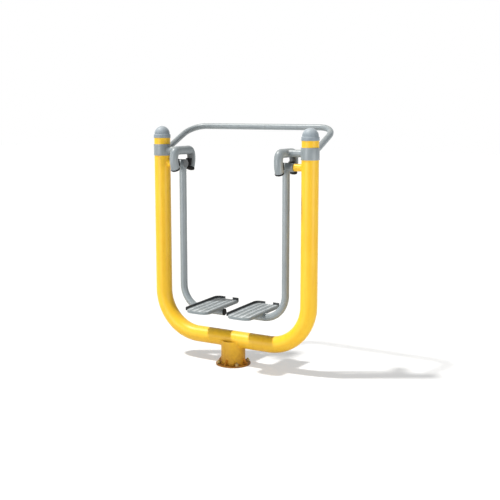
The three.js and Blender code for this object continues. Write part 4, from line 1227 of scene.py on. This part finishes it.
def seenDirectly(finish):
    # 1 for what the camera sees, also in gloss and through glass
    kinds = ("Is Camera Ray", "Is Glossy Ray", "Is Transmission Ray")
    camera, gloss, glass = [finish.node("LightPath", output=kind) for kind in kinds]
    return (camera + gloss + glass).maths("MINIMUM", 1)


# the floor is lighter where it is seen than where it lights the part from below
ground = Finish("pale_floor", Roughness=pale["roughness"], Specular_IOR_Level=0.0)
seen = seenDirectly(ground)
ground.connect(Base_Color=ground.blend(seen, (*[pale["bounce"]] * 3, 1), (*[pale["seen"]] * 3, 1)))
lift = ground.node("Emission", inputs={"Color": (1, 1, 1, 1), "Strength": 1.0})
lifted = ground.node("MixShader", inputs={
    0: seen * pale["lift"], 1: Wire(ground, ground.surface.outputs[0]), 2: lift})
ground.tree.links.new(lifted.socket, ground.tree.nodes["Material Output"].inputs["Surface"])
floorMesh.materials.append(ground.material)


class Surroundings(Finish):
    # the world's own nodes, made the same way
    def __init__(self, world):
        world.use_nodes = True
        self.tree = world.node_tree
        self.tree.nodes.clear()


world = bpy.data.worlds.new("studio")
bpy.context.scene.world = world
around = Surroundings(world)
dim = around.node("Background", inputs={"Color": (*light["skyColour"], 1), "Strength": light["sky"]})
white = around.node("Background", inputs={"Color": (1, 1, 1, 1), "Strength": 1.0})
backdrop = around.node("MixShader", inputs={0: seenDirectly(around), 1: dim, 2: white})
around.node("OutputWorld", inputs={"Surface": backdrop}, output=None)


def addLamp(name, kind, way, **settings):
    # a lamp that shines along a direction
    data = bpy.data.lights.new(name, kind)
    for setting, value in settings.items():
        setattr(data, setting, value)
    lamp = bpy.data.objects.new(name, data)
    lamp.rotation_euler = Vector(way).to_track_quat("-Z", "Y").to_euler()
    bpy.context.scene.collection.objects.link(lamp)
    return lamp


addLamp("sun", "SUN", light["sunWay"], energy=light["sunStrength"], angle=math.radians(light["sunAngle"]),
        color=light["sunColour"])
for name, lamp in softLamps.items():
    way = np.array(light["aim"]) - np.array(lamp["place"])
    softLamp = addLamp(name, "AREA", way, energy=lamp["power"], size=lamp["size"])
    softLamp.location = lamp["place"]
    softLamp.visible_camera = False

cameraData = bpy.data.cameras.new("camera")
cameraData.sensor_width = view["sensor"]
cameraData.lens = view["focal"] * view["sensor"]
cameraData.clip_end = view["far"]
camera = bpy.data.objects.new("camera", cameraData)
camera.location = view["place"]
camera.rotation_euler = (math.radians(90 - view["pitch"]), 0, math.radians(view["azimuth"]))
bpy.context.scene.collection.objects.link(camera)
bpy.context.scene.camera = camera
bpy.context.scene.view_settings.view_transform = "Standard"
